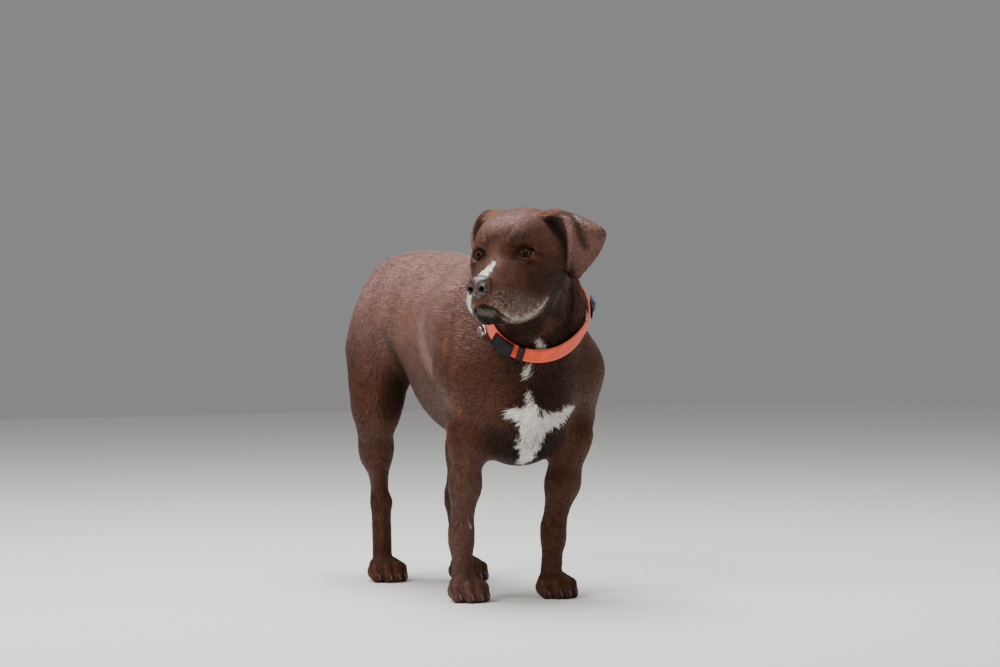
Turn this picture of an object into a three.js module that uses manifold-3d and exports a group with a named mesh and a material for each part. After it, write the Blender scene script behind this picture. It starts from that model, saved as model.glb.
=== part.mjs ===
// A standing Labrador type dog, life size, head turned to its right, wearing a webbing collar.
// Millimetres, +Z up. The dog faces -Y, its left side is +X, and its feet stand on z = 0.
import * as THREE from 'three';
import { mergeVertices } from 'three/addons/utils/BufferGeometryUtils.js';
import Module from 'manifold-3d';

const wasm = await Module();
wasm.setup();

// ---- driving dimensions ----
const gap = 0.4; // clearance left between pieces that touch
const chestShift = 14; // the chest leans over towards the dog's left
const eyeMiddle = [-100, -411, 588]; // point midway between the eyes
const headTurn = 52; // degrees the head is turned to the dog's right
const headNod = 12; // degrees the muzzle points down
const headTilt = 3; // degrees the right side of the head hangs lower
const eyeOut = 41; // eye centre from the middle of the face
const eyeBack = 3; // eye centre behind the point between the eyes
const eyeRise = 1; // and above it
const eyeRadius = 12;
const earThickness = 6.5;
const clawLength = 17;
const clawRadius = 3.6;
const soleLevel = 0;
const strapWidth = 25;
const strapThickness = 2.6;
const strapLay = 3.1; // the strap's inner face over the tips of the coat

const rad = THREE.MathUtils.degToRad;

// ---- colours of the dog and of what it wears ----
const finish = (colour, roughness, metalness = 0) =>
  new THREE.MeshStandardMaterial({ color: colour, roughness, metalness });
const coat = finish('#4a2c20', 0.6);
const noseSkin = finish('#5a4138', 0.4);
const eyeGlass = finish('#5f3414', 0.08);
const clawHorn = finish('#2a211c', 0.45);
const webbing = finish('#f0512e', 0.75);
const blackPlastic = finish('#15171a', 0.4);
const greyPlastic = finish('#7d8590', 0.45);
const steel = finish('#c4c6c8', 0.3, 1);

// ---- the flesh as a field: negative inside, zero on the tips of the coat ----

// Two distances joined with a rounded fillet.
function blendMin(a, b, width) {
  const h = Math.max(width - Math.abs(a - b), 0) / width;
  return Math.min(a, b) - h * h * width * 0.25;
}

const blendMax = (a, b, width) => -blendMin(-a, -b, width);

// A round bar from a to b whose radius runs from ra to rb.
const bar = (a, ra, b, rb, blend = 20) => ({ kind: 'bar', a, ra, b, rb, blend });

// An egg about a centre, its three half sizes, and its turn in degrees about X, Y and Z.
function egg(centre, half, blend = 25, turn = [0, 0, 0]) {
  const euler = new THREE.Euler(rad(turn[0]), rad(turn[1]), rad(turn[2]));
  const m = new THREE.Matrix4().makeRotationFromEuler(euler).elements;
  return { kind: 'egg', a: centre, half, blend, m };
}

const hollow = (form) => ({ ...form, hollow: true });

// How far a point is from a form, and never more than that: the ball round the form.
function farFrom(form, x, y, z) {
  if (!form.ball) {
    const end = form.kind === 'bar' ? form.b : form.a;
    const centre = form.a.map((value, axis) => (value + end[axis]) / 2);
    const reach = form.kind === 'bar' ? Math.max(form.ra, form.rb) : Math.max(...form.half);
    const span = Math.hypot(form.a[0] - centre[0], form.a[1] - centre[1], form.a[2] - centre[2]);
    form.ball = [...centre, span + reach];
  }
  const dx = x - form.ball[0];
  const dy = y - form.ball[1];
  const dz = z - form.ball[2];
  return Math.sqrt(dx * dx + dy * dy + dz * dz) - form.ball[3];
}

function distanceTo(form, x, y, z) {
  const px = x - form.a[0];
  const py = y - form.a[1];
  const pz = z - form.a[2];
  if (form.kind === 'bar') {
    const bx = form.b[0] - form.a[0];
    const by = form.b[1] - form.a[1];
    const bz = form.b[2] - form.a[2];
    const along = (px * bx + py * by + pz * bz) / (bx * bx + by * by + bz * bz);
    const t = Math.min(Math.max(along, 0), 1);
    const dx = px - bx * t;
    const dy = py - by * t;
    const dz = pz - bz * t;
    return Math.sqrt(dx * dx + dy * dy + dz * dz) - (form.ra + (form.rb - form.ra) * t);
  }
  const { m, half } = form;
  const u = (px * m[0] + py * m[1] + pz * m[2]) / half[0];
  const v = (px * m[4] + py * m[5] + pz * m[6]) / half[1];
  const w = (px * m[8] + py * m[9] + pz * m[10]) / half[2];
  const near = Math.sqrt(u * u + v * v + w * w);
  const slope = Math.sqrt((u / half[0]) ** 2 + (v / half[1]) ** 2 + (w / half[2]) ** 2);
  return slope < 1e-9 ? -Math.min(half[0], half[1], half[2]) : (near * (near - 1)) / slope;
}

function joined(forms, x, y, z) {
  let d = 1e3;
  for (const form of forms) {
    if (farFrom(form, x, y, z) > (form.hollow ? form.blend - d : d + form.blend)) continue;
    const next = distanceTo(form, x, y, z);
    d = form.hollow ? blendMax(d, -next, form.blend) : blendMin(d, next, form.blend);
  }
  return d;
}

// Trunk: rib cage, brisket, belly, loin, croup and the muscles over them.
const c = chestShift;
const trunkForms = [
  egg([c, -100, 415], [128, 208, 158], 1, [4, 0, 0]),
  egg([c * 0.3, 38, 470], [105, 138, 113], 36),
  egg([2, 95, 486], [102, 155, 96], 40),
  egg([0, 165, 479], [103, 117, 107], 40),
  bar([c, -190, 520], 54, [c * 0.5, -50, 512], 52, 50),
  egg([c + 2, -255, 385], [100, 82, 100], 45),
  egg([c + 2, -220, 299], [76, 98, 74], 45),
];

// Shoulder and upper arm of one side: side is 1 on the left and -1 on the right.
const shoulderForms = (side) => [
  bar([c * 1.3 + side * 85, -150, 490], 48, [c * 1.3 + side * 90, -228, 392], 54, 45),
  bar([c * 1.3 + side * 93, -222, 385], 53, [c * 3 + side * 86, -192, 315], 46, 40),
];

// Fore leg: elbow, forearm, wrist, pastern and the foot.
function foreLeg(elbow, wrist, foot) {
  const [ex, ey] = elbow;
  const [wx, wy] = wrist;
  const [fx, fy] = foot;
  return [
    bar([ex, ey + 12, 292], 21, [ex, ey - 8, 270], 31, 22),
    bar([ex, ey - 9, 275], 32, [(ex + wx) / 2, (ey + wy) / 2 - 6, 195], 28.5, 25),
    bar([(ex + wx) / 2, (ey + wy) / 2 - 6, 195], 28.5, [wx, wy, 122], 20.5, 20),
    bar([wx, wy - 2, 118], 20.5, [wx, wy - 2, 100], 20.5, 15),
    bar([wx, wy, 100], 19, [fx, fy - 4, 38], 19, 15),
    ...paw([fx, fy - 18]),
  ];
}

// Hind leg: thigh, stifle, shank, hock, hind pastern and the foot.
function hindLeg(side, stifle, hock, foot) {
  const [sx, sy] = stifle;
  const [hx, hy] = hock;
  const [fx, fy] = foot;
  return [
    bar([side * 52, 165, 445], 68, [sx * 0.94, sy + 20, 355], 43, 45),
    bar([sx * 0.94, sy + 18, 350], 43, [sx, sy + 12, 308], 33, 30),
    bar([side * 65, 204, 408], 54, [sx * 0.9, sy + 60, 325], 37, 40),
    bar([sx, sy + 10, 315], 34, [(sx + hx) / 2, (sy + hy) / 2 + 14, 235], 25, 30),
    bar([sx * 0.92, sy + 58, 300], 30, [(sx + hx) / 2 + side * 2, (sy + hy) / 2 + 28, 225], 22, 25),
    bar([(sx + hx) / 2, (sy + hy) / 2 + 14, 235], 23, [hx, hy - 6, 165], 15, 25),
    bar([hx, hy + 16, 160], 9, [(sx + hx) / 2, hy - 4, 225], 12, 20),
    bar([hx, hy + 12, 150], 11, [hx, hy - 10, 140], 17, 15),
    bar([hx, hy - 6, 138], 18, [fx, fy - 4, 42], 17, 15),
    ...paw([fx, fy - 18]),
  ];
}

// Where the four toes of a foot end: the middle two reach further.
const toeTips = ([x, y]) => [-1.5, -0.5, 0.5, 1.5].map((place) =>
  [x + place * 16.5, y - (Math.abs(place) < 1 ? 36 : 24), place]);

// One foot: a pad block and four arched toes.
function paw([x, y]) {
  const toes = toeTips([x, y]).map(([tipX, tipY, place]) => {
    const knuckle = Math.abs(place) < 1 ? 27 : 24;
    return [
      bar([x + place * 11, y + 4, 30], 13, [tipX, tipY + 14, knuckle], 11.5, 9),
      bar([tipX, tipY + 14, knuckle - 1], 11.5, [tipX, tipY + 4, 9], 10.5, 6),
    ];
  });
  return [egg([x, y + 12, 17], [28, 30, 22], 12), ...toes.flat()];
}

// Tail: set on the croup and hanging down behind the hocks.
const tailPath = [[0, 265, 540], [2, 312, 515], [4, 338, 460], [5, 346, 390], [6, 345, 320], [6, 340, 262]];
const tailRadius = [32, 25, 20, 17, 13, 8];
const tailForms = tailPath.slice(1).map((to, i) =>
  bar(tailPath[i], tailRadius[i], to, tailRadius[i + 1], i ? 12 : 30));

// Neck: nape, throat and the loose skin at its root.
const neckForms = [
  bar([c + 17, -172, 472], 76, [c + 12, -285, 496], 70, 45),
  bar([c + 12, -285, 496], 72, [-20, -350, 584], 65, 35),
  bar([c + 4, -272, 418], 62, [-36, -368, 536], 38, 35),
];

// Head, in its own frame: x forward from between the eyes, y to the left, z up. y is mirrored.
const headForms = [
  egg([-64, 0, 4], [76, 66, 59], 1),
  egg([-30, 0, 14], [44, 54, 42], 30),
  egg([-86, 0, -10], [54, 74, 48], 30),
  bar([-20, 0, 14], 35, [18, 0, -16], 22, 24),
  egg([-46, 43, -40], [50, 32, 50], 30),
  bar([-8, 44, -16], 14, [-62, 54, -10], 16, 25),
  bar([-8, 34, -34], 20, [34, 20, -44], 20, 25),
  egg([-2, 26, 18], [16, 18, 12], 16),
  bar([0, 0, -30], 34, [63, 0, -43], 25, 24),
  bar([10, 0, -14], 17, [78, 0, -32], 14, 16),
  bar([-12, 28, -64], 25, [66, 19, -66], 21, 20),
  bar([-14, 30, -90], 19, [52, 20, -88], 17, 18),
  egg([70, 0, -60], [26, 37, 34], 14),
  bar([-44, 26, -82], 22, [14, 20, -94], 15, 20),
  bar([10, 10, -98], 14, [73, 6, -90], 12.5, 14),
  bar([-66, 0, -70], 40, [-15, 0, -80], 28, 30),
  hollow(bar([4, 38, 4], 6, [46, 17, 13], 8, 12)),
];

const headMatrix = new THREE.Matrix4()
  .makeTranslation(...eyeMiddle)
  .multiply(new THREE.Matrix4().makeRotationZ(rad(-90 - headTurn)))
  .multiply(new THREE.Matrix4().makeRotationY(rad(headNod)))
  .multiply(new THREE.Matrix4().makeRotationX(rad(headTilt)));
const toHead = headMatrix.clone().invert().elements;

function headField(x, y, z) {
  const f = toHead[0] * x + toHead[4] * y + toHead[8] * z + toHead[12];
  const s = toHead[1] * x + toHead[5] * y + toHead[9] * z + toHead[13];
  const u = toHead[2] * x + toHead[6] * y + toHead[10] * z + toHead[14];
  return joined(headForms, f, Math.abs(s), u);
}

const torsoForms = [...trunkForms, ...shoulderForms(1), ...shoulderForms(-1), ...tailForms, ...neckForms];
const feet = {
  fore_leg_left: [84, -206],
  fore_leg_right: [-83, -210],
  hind_leg_left: [80, 148],
  hind_leg_right: [-57, 195],
};
const legForms = {
  foreLeft: foreLeg([112, -222], [89, -208], feet.fore_leg_left),
  foreRight: foreLeg([-70, -204], [-83, -208], feet.fore_leg_right),
  hindLeft: hindLeg(1, [86, 88], [74, 172], feet.hind_leg_left),
  hindRight: hindLeg(-1, [-85, 130], [-52, 215], feet.hind_leg_right),
};

function fleshField(x, y, z) {
  let d = joined(torsoForms, x, y, z);
  for (const forms of Object.values(legForms)) {
    d = blendMin(d, joined(forms, x, y, z), 35);
  }
  return blendMin(d, headField(x, y, z), 30);
}

// ---- meshing: one vertex in each cell that the surface crosses, pulled on to it ----
function sculpt([low, high], step, field = fleshField) {
  const count = low.map((from, axis) => Math.ceil((high[axis] - from) / step[axis]) + 2);
  const at = (axis, i) => low[axis] + (i - 0.5) * step[axis];
  const node = (i, j, k) => (k * count[1] + j) * count[0] + i;
  const value = new Float64Array(count[0] * count[1] * count[2]);
  for (let k = 0; k < count[2]; k++) {
    for (let j = 0; j < count[1]; j++) {
      for (let i = 0; i < count[0]; i++) {
        const edge = i * j * k === 0 || i === count[0] - 1 || j === count[1] - 1 || k === count[2] - 1;
        value[node(i, j, k)] = edge ? 1 : field(at(0, i), at(1, j), at(2, k));
      }
    }
  }
  const points = [];
  const patches = new Map();
  // The vertices of one cell, by the numbers of the cell edges that each one serves.
  const patchesOf = (i, j, k) => {
    const key = node(i, j, k);
    if (patches.has(key)) return patches.get(key);
    const level = corners.map(([a, b, c2]) => value[node(i + a, j + b, k + c2)]);
    const crossed = cellEdges.map(([m, n]) => level[m] < 0 !== level[n] < 0);
    const group = cellEdges.map((_, edge) => edge);
    const join = (m, n) => {
      const [from, to] = [group[m], group[n]];
      group.forEach((g, edge) => {
        if (g === from) group[edge] = to;
      });
    };
    for (const face of cellFaces) {
      const cut = face.filter((edge) => crossed[edge]);
      if (cut.length === 2) join(...cut);
      if (cut.length < 4) continue;
      for (const m of cut) {
        for (const n of cut) {
          const shared = cellEdges[m].find((end) => cellEdges[n].includes(end));
          if (m !== n && shared !== undefined && level[shared] < 0) join(m, n);
        }
      }
    }
    const vertexOfEdge = new Array(12);
    for (const g of new Set(group)) {
      const edges = cellEdges.map((_, edge) => edge).filter((edge) => crossed[edge] && group[edge] === g);
      if (!edges.length) continue;
      const p = [0, 0, 0];
      for (const edge of edges) {
        const [m, n] = cellEdges[edge];
        const t = level[m] / (level[m] - level[n]);
        [i, j, k].forEach((start, axis) => {
          const place = start + corners[m][axis] + (corners[n][axis] - corners[m][axis]) * t;
          p[axis] += at(axis, place) / edges.length;
        });
      }
      pullOn(p, field, Math.min(...step) * 0.3);
      for (const edge of edges) vertexOfEdge[edge] = points.length / 3;
      points.push(...p);
    }
    patches.set(key, vertexOfEdge);
    return vertexOfEdge;
  };
  const triangles = [];
  for (let k = 0; k < count[2] - 1; k++) {
    for (let j = 0; j < count[1] - 1; j++) {
      for (let i = 0; i < count[0] - 1; i++) {
        for (let axis = 0; axis < 3; axis++) {
          const next = [i, j, k];
          if (next[(axis + 1) % 3] * next[(axis + 2) % 3] === 0) continue;
          next[axis]++;
          const inside = value[node(i, j, k)] < 0;
          if (inside === value[node(...next)] < 0) continue;
          const ring = aroundEdge[axis].map(({ cell, edge }) =>
            patchesOf(i + cell[0], j + cell[1], k + cell[2])[edge]);
          if (!inside) ring.reverse();
          triangles.push(...splitQuad(points, ring));
        }
      }
    }
  }
  return { points, triangles };
}

// The corners, edges and faces of a grid cell, and the four cells round each grid edge.
const corners = [0, 1, 2, 3, 4, 5, 6, 7].map((n) => [n & 1, (n >> 1) & 1, n >> 2]);
const cellEdges = [];
for (let axis = 0; axis < 3; axis++) {
  corners.forEach((corner, m) => {
    if (corner[axis] === 0) cellEdges.push([m, m + (1 << axis)]);
  });
}
const cellFaces = [];
for (let axis = 0; axis < 3; axis++) {
  for (const side of [0, 1]) {
    const onFace = ([m, n]) => corners[m][axis] === side && corners[n][axis] === side;
    cellFaces.push(cellEdges.map((_, edge) => edge).filter((edge) => onFace(cellEdges[edge])));
  }
}
const aroundEdge = [0, 1, 2].map((axis) => [[0, 0], [-1, 0], [-1, -1], [0, -1]].map(([a, b]) => {
  const cell = [0, 0, 0];
  cell[(axis + 1) % 3] = a;
  cell[(axis + 2) % 3] = b;
  const start = corners.findIndex((corner) => corner.every((value, n) => value === -cell[n]));
  return { cell, edge: cellEdges.findIndex(([m, n]) => m === start && n === start + (1 << axis)) };
}));

// Two short steps down the field bring a point on to the surface.
function pullOn(p, field, most) {
  for (let pass = 0; pass < 2; pass++) {
    const d = field(...p);
    const slope = [0, 1, 2].map((axis) => {
      const q = [...p];
      q[axis] += 1;
      return field(...q) - d;
    });
    const size = Math.max(Math.hypot(...slope), 0.3);
    const move = Math.min(Math.max(d / size, -most), most);
    slope.forEach((part, axis) => {
      p[axis] -= (part / size) * move;
    });
  }
}

// A quad becomes two triangles along its shorter diagonal.
function splitQuad(points, [a, b, c2, d]) {
  const far = (m, n) => Math.hypot(...[0, 1, 2].map((axis) => points[3 * m + axis] - points[3 * n + axis]));
  return far(a, c2) < far(b, d) ? [a, b, c2, a, c2, d] : [a, b, d, b, c2, d];
}

// ---- solids ----
const solidOf = (points, triangles) => new wasm.Manifold(new wasm.Mesh({
  numProp: 3,
  vertProperties: new Float32Array(points),
  triVerts: new Uint32Array(triangles),
}));

// A solid from a three.js geometry, placed by a matrix.
function solidFrom(geometry, matrix = new THREE.Matrix4()) {
  const bare = geometry.clone().applyMatrix4(matrix);
  bare.deleteAttribute('normal');
  bare.deleteAttribute('uv');
  const merged = mergeVertices(bare, 1e-3);
  return solidOf(merged.attributes.position.array, merged.index.array);
}

// The box between two corners.
function block(low, high) {
  const size = high.map((value, axis) => value - low[axis]);
  const middle = high.map((value, axis) => (value + low[axis]) / 2);
  return solidFrom(new THREE.BoxGeometry(...size), new THREE.Matrix4().makeTranslation(...middle));
}

// Everything within reach below a plane through a point, its normal pointing out of the solid.
function below(point, normal, reach = 900) {
  const up = new THREE.Vector3(...normal).normalize();
  const turn = new THREE.Quaternion().setFromUnitVectors(new THREE.Vector3(0, 0, 1), up);
  const middle = new THREE.Vector3(...point).addScaledVector(up, -reach / 2);
  const matrix = new THREE.Matrix4().compose(middle, turn, new THREE.Vector3(1, 1, 1));
  return solidFrom(new THREE.BoxGeometry(reach * 2, reach * 2, reach), matrix);
}

// Flesh meshed inside a box, with cells of the given size.
function fleshIn(low, high, step, field = fleshField) {
  const { points, triangles } = sculpt([low, high], step, field);
  return solidOf(points, triangles);
}

const dog = new THREE.Group();

function addNode(name, solid, material) {
  const bodies = solid.decompose();
  const largest = bodies.reduce((a, b) => (b.volume() > a.volume() ? b : a));
  const mesh = largest.getMesh();
  const geometry = new THREE.BufferGeometry();
  geometry.setAttribute('position', new THREE.BufferAttribute(mesh.vertProperties, 3));
  geometry.setIndex(new THREE.BufferAttribute(mesh.triVerts, 1));
  geometry.computeVertexNormals();
  const node = new THREE.Mesh(geometry, material);
  node.name = name;
  dog.add(node);
}

// The collar's ring lies in a plane across the neck.
const collarCentre = new THREE.Vector3(12, -296, 484);
const collarUp = new THREE.Vector3(-0.17, -0.73, 0.66).normalize();

// ---- where the body is parted ----
const away = (point, normal, distance) => {
  const length = Math.hypot(...normal);
  return point.map((value, axis) => value + (normal[axis] / length) * distance);
};
const half = gap / 2;
const neckRoot = {
  point: collarCentre.clone().addScaledVector(collarUp, -26).toArray(),
  normal: collarUp.toArray(),
};
const headRoot = {
  point: new THREE.Vector3(-128, 0, 40).applyMatrix4(headMatrix).toArray(),
  normal: new THREE.Vector3(-0.923, 0, -0.386).transformDirection(headMatrix).toArray(),
};
const tailRoot = 300;
const wristLevel = 108;
const stifleLevel = 300;
const hockLevel = 142;
const pawLevel = 46;

const legs = ['fore', 'hind'].flatMap((pair) => [1, -1].map((side) => {
  const fore = pair === 'fore';
  const [inner, outer] = [side * (fore ? 3 : 5), side * 235].sort((a, b) => a - b);
  const shift = fore ? c * 0.5 : 0;
  return {
    name: `${pair}_leg_${side > 0 ? 'left' : 'right'}`,
    side,
    fore,
    low: [inner + shift, fore ? -350 : 15, -25],
    high: [outer + shift, fore ? -95 : 290, fore ? 380 : 480],
    point: fore ? [shift + side * 50, -205, 262] : [side * 40, 160, 366],
    normal: fore ? [-side * 0.65, 0, 0.76] : [-side * 0.6, -0.25, 0.76],
  };
}));

// The space that a leg takes out of the trunk.
const legSpace = (leg, distance) =>
  block(leg.low, leg.high).intersect(below(away(leg.point, leg.normal, distance), leg.normal));

// ---- trunk ----
function makeTrunk() {
  const flip = neckRoot.normal.map((v) => -v);
  let trunk = fleshIn([-200, -390, 200], [210, 320, 630], [37, 52, 35]);
  trunk = trunk.subtract(below(away(neckRoot.point, neckRoot.normal, -half), flip));
  trunk = trunk.intersect(block([-300, -500, 0], [300, tailRoot - half, 700]));
  for (const leg of legs) trunk = trunk.subtract(legSpace(leg, half));
  addNode('trunk', trunk, coat);
}

function makeNeck() {
  const flip = neckRoot.normal.map((v) => -v);
  const neck = fleshIn([-170, -430, 380], [190, -130, 690], [30, 30, 30])
    .intersect(below(away(neckRoot.point, flip, -half), flip))
    .subtract(below(away(headRoot.point, headRoot.normal, half), headRoot.normal));
  addNode('neck', neck, coat);
}

function makeTail() {
  const tail = fleshIn([-50, 280, 230], [50, 380, 580], [13, 14, 28])
    .intersect(block([-60, tailRoot + half, 0], [60, 500, 700]));
  addNode('tail', tail, coat);
}

// ---- legs ----
function makeLegs() {
  for (const leg of legs) {
    const joints = leg.fore
      ? [['upper', wristLevel, 400, [22, 22, 36]], ['pastern', pawLevel, wristLevel, [14, 14, 24]]]
      : [['thigh', stifleLevel, 500, [34, 34, 34]], ['shank', hockLevel, stifleLevel, [18, 20, 34]],
        ['pastern', pawLevel, hockLevel, [14, 14, 28]]];
    for (const [part, from, to, step] of joints) {
      const low = [leg.low[0], leg.low[1], from - 30];
      const high = [leg.high[0], leg.high[1], to + 30];
      const piece = fleshIn(low, high, step)
        .intersect(block([leg.low[0], -600, from + half], [leg.high[0], 600, to - half]))
        .intersect(legSpace(leg, -half));
      addNode(`${leg.name}_${part}`, piece, coat);
    }
  }
}

// ---- head, with its eyes, nose and ears ----
const headSolid = (solid) => solid.transform(headMatrix.elements);

function eyeBall(side, grow) {
  const ball = new THREE.SphereGeometry(eyeRadius + grow, 10, 7);
  return headSolid(solidFrom(ball, new THREE.Matrix4().makeTranslation(-eyeBack, side * eyeOut, eyeRise)));
}

const nostril = (side) => hollow(bar([112, side * 9, -39], 4.5, [99, side * 12, -37], 3, 3));
const noseEgg = (grow) => egg([93, -2, -37], [16 + grow, 21 + grow, 18 + grow], 1);
const noseForms = [noseEgg(0), nostril(1), nostril(-1)];

// Ears: five rows of points from the root over the fold to the tip, in the head's frame. The left ear
// flares out at its back corner, and the right one hangs flat beside the cheek.
const earRows = {
  left: [
    [[-58, 42, 47], [-110, 48, 51]],
    [[-66, 69, 45], [-106, 98, 34]],
    [[-70, 87, 18], [-105, 138, 9]],
    [[-67, 77, -30], [-94, 125, -27]],
    [[-70, 80, -57], [-76, 93, -61]],
  ],
  right: [
    [[-58, -41, 51], [-106, -43, 61]],
    [[-58, -60, 45], [-106, -80, 52]],
    [[-62, -77, 19], [-104, -97, 20]],
    [[-68, -84, -14], [-98, -96, -20]],
    [[-74, -86, -46], [-84, -90, -50]],
  ],
};
// A point of the ear: a smooth curve through the rows, a straight line across, and a soft bulge.
function earPoint(side, across, down) {
  const rows = earRows[side > 0 ? 'left' : 'right'].map(([front, back]) =>
    new THREE.Vector3(...front).lerp(new THREE.Vector3(...back), across));
  const p = new THREE.CatmullRomCurve3(rows, false, 'catmullrom', 0.4).getPoint(down);
  const bulge = (side > 0 ? 6 : 10) * Math.sin(Math.PI * across) * Math.sin(Math.PI * down);
  p.x += bulge * 0.55;
  p.y += side * bulge * 0.8;
  return p;
}

function earSolid(side) {
  const wide = 4;
  const long = 9;
  const points = [];
  const acrossEar = (u, v) => {
    const e = 0.01;
    const du = earPoint(side, Math.min(u + e, 1), v).sub(earPoint(side, Math.max(u - e, 0), v));
    const dv = earPoint(side, u, Math.min(v + e, 1)).sub(earPoint(side, u, Math.max(v - e, 0)));
    return du.cross(dv).normalize();
  };
  for (const face of [1, -1]) {
    for (let j = 0; j <= long; j++) {
      for (let i = 0; i <= wide; i++) {
        const rim = i === 0 || i === wide || j === long ? 0.45 : 1;
        const p = earPoint(side, i / wide, j / long);
        p.addScaledVector(acrossEar(i / wide, j / long), (face * earThickness * rim) / 2);
        points.push(p.x, p.y, p.z);
      }
    }
  }
  const top = (i, j) => j * (wide + 1) + i;
  const under = (i, j) => top(i, j) + (wide + 1) * (long + 1);
  const triangles = [];
  const quad = (a, b, c2, d) => triangles.push(a, b, c2, a, c2, d);
  for (let j = 0; j < long; j++) {
    for (let i = 0; i < wide; i++) {
      quad(top(i, j), top(i + 1, j), top(i + 1, j + 1), top(i, j + 1));
      quad(under(i, j + 1), under(i + 1, j + 1), under(i + 1, j), under(i, j));
    }
    quad(top(0, j + 1), under(0, j + 1), under(0, j), top(0, j));
    quad(top(wide, j), under(wide, j), under(wide, j + 1), top(wide, j + 1));
  }
  for (let i = 0; i < wide; i++) {
    quad(top(i, 0), under(i, 0), under(i + 1, 0), top(i + 1, 0));
    quad(top(i + 1, long), under(i + 1, long), under(i, long), top(i, long));
  }
  return headSolid(solidOf(points, triangles));
}

function flipped(triangles) {
  const turned = [...triangles];
  for (let n = 0; n < turned.length; n += 3) [turned[n], turned[n + 1]] = [turned[n + 1], turned[n]];
  return turned;
}

// The almond opening round an eye, as a flattened ball on the way the eye looks.
function eyeOpening(side) {
  const matrix = new THREE.Matrix4().makeTranslation(9, side * 47, 2)
    .multiply(new THREE.Matrix4().makeRotationZ(side * rad(36)))
    .multiply(new THREE.Matrix4().makeScale(11, 14, 9));
  return headSolid(solidFrom(new THREE.SphereGeometry(1, 9, 6), matrix));
}

function makeHead() {
  const low = [-210, -530, 430];
  const high = [70, -270, 690];
  const front = below(away(headRoot.point, headRoot.normal, -half), headRoot.normal);
  const step = [18, 18, 18];
  let head = fleshIn(low, high, step).intersect(front);
  const skin = fleshIn(low, high, step, (x, y, z) => fleshField(x, y, z) - gap);
  for (const side of [1, -1]) {
    head = head.subtract(eyeBall(side, gap)).subtract(eyeOpening(side));
    const name = side > 0 ? 'left' : 'right';
    addNode(`eye_${name}`, eyeBall(side, 0), eyeGlass);
    addNode(`ear_${name}`, earSolid(side).subtract(skin), coat);
  }
  const noseBox = [[62, -32, -68], [120, 32, -8]];
  const inNoseFrame = (forms, step) => {
    const { points, triangles } = sculpt(noseBox, step, (x, y, z) => joined(forms, x, y, z));
    return headSolid(solidOf(points, triangles));
  };
  addNode('nose', inNoseFrame(noseForms, [6.9, 6.9, 6.9]), noseSkin);
  addNode('head', head.subtract(inNoseFrame([noseEgg(1.4)], [8, 8, 8])), coat);
}

// ---- feet and claws ----
function clawSolid([x, y], grow) {
  const claw = new THREE.ConeGeometry(clawRadius + grow, clawLength + grow, 5, 1);
  const matrix = new THREE.Matrix4().makeTranslation(x, y - 8, 10).multiply(
    new THREE.Matrix4().makeRotationX(rad(-145)));
  return solidFrom(claw, matrix);
}

function makePaws() {
  for (const leg of legs) {
    const forms = legForms[`${leg.fore ? 'fore' : 'hind'}${leg.side > 0 ? 'Left' : 'Right'}`];
    const [x, y] = feet[leg.name];
    let foot = fleshIn([x - 60, y - 80, -14], [x + 60, y + 50, pawLevel + 20], [14, 14, 12],
      (px, py, pz) => joined(forms, px, py, pz));
    foot = foot.intersect(block([x - 80, y - 90, soleLevel], [x + 80, y + 70, pawLevel - half]));
    toeTips([x, y - 18]).forEach((tip, n) => {
      addNode(`claw_${leg.name}_${n + 1}`, clawSolid(tip, 0), clawHorn);
      foot = foot.subtract(clawSolid(tip, gap));
    });
    addNode(`${leg.name}_paw`, foot, coat);
  }
}

// ---- collar ----
const collarFront = new THREE.Vector3(0, -1, 0).projectOnPlane(collarUp).normalize();
const collarLeft = new THREE.Vector3().crossVectors(collarUp, collarFront).normalize();

// A place round the collar: degrees from the throat towards the dog's left, a height across the strap,
// and how far it stands off the coat.
function collarPlace(angle, height, off) {
  const out = collarFront.clone().multiplyScalar(Math.cos(rad(angle)))
    .addScaledVector(collarLeft, Math.sin(rad(angle)));
  let reach = 70;
  for (let pass = 0; pass < 40; pass++) {
    const p = collarCentre.clone().addScaledVector(out, reach);
    reach -= fleshField(p.x, p.y, p.z) * 0.7;
  }
  const place = collarCentre.clone().addScaledVector(out, reach);
  const across = collarUp.clone().projectOnPlane(normalAt(place)).normalize();
  place.addScaledVector(across, height);
  for (let pass = 0; pass < 4; pass++) {
    place.addScaledVector(normalAt(place), -fleshField(place.x, place.y, place.z));
  }
  return place.addScaledVector(normalAt(place), off);
}

// The way out of the flesh at a place.
function normalAt({ x, y, z }) {
  const d = fleshField(x, y, z);
  const along = [fleshField(x + 1, y, z), fleshField(x, y + 1, z), fleshField(x, y, z + 1)];
  return new THREE.Vector3(...along.map((value) => value - d)).normalize();
}

// A band round the neck between two angles, as closed rings of six points.
function band(from, to, heights, near, far, sections, closed) {
  const points = [];
  const count = closed ? sections : sections + 1;
  for (let n = 0; n < count; n++) {
    const angle = from + ((to - from) * n) / sections;
    for (const h of heights) points.push(...collarPlace(angle, h, near).toArray());
    for (const h of [...heights].reverse()) points.push(...collarPlace(angle, h, far).toArray());
  }
  const ring = heights.length * 2;
  const triangles = [];
  for (let n = 0; n < sections; n++) {
    for (let m = 0; m < ring; m++) {
      const a = n * ring + m;
      const b = n * ring + ((m + 1) % ring);
      const c2 = (((n + 1) % count) * ring) + ((m + 1) % ring);
      const d = (((n + 1) % count) * ring) + m;
      triangles.push(a, b, c2, a, c2, d);
    }
  }
  if (!closed) {
    for (let m = 1; m < ring - 1; m++) {
      triangles.push(0, m + 1, m);
      const end = sections * ring;
      triangles.push(end, end + m, end + m + 1);
    }
  }
  const solid = solidOf(points, triangles);
  return solid.volume() > 0 ? solid : solidOf(points, flipped(triangles));
}

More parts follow.
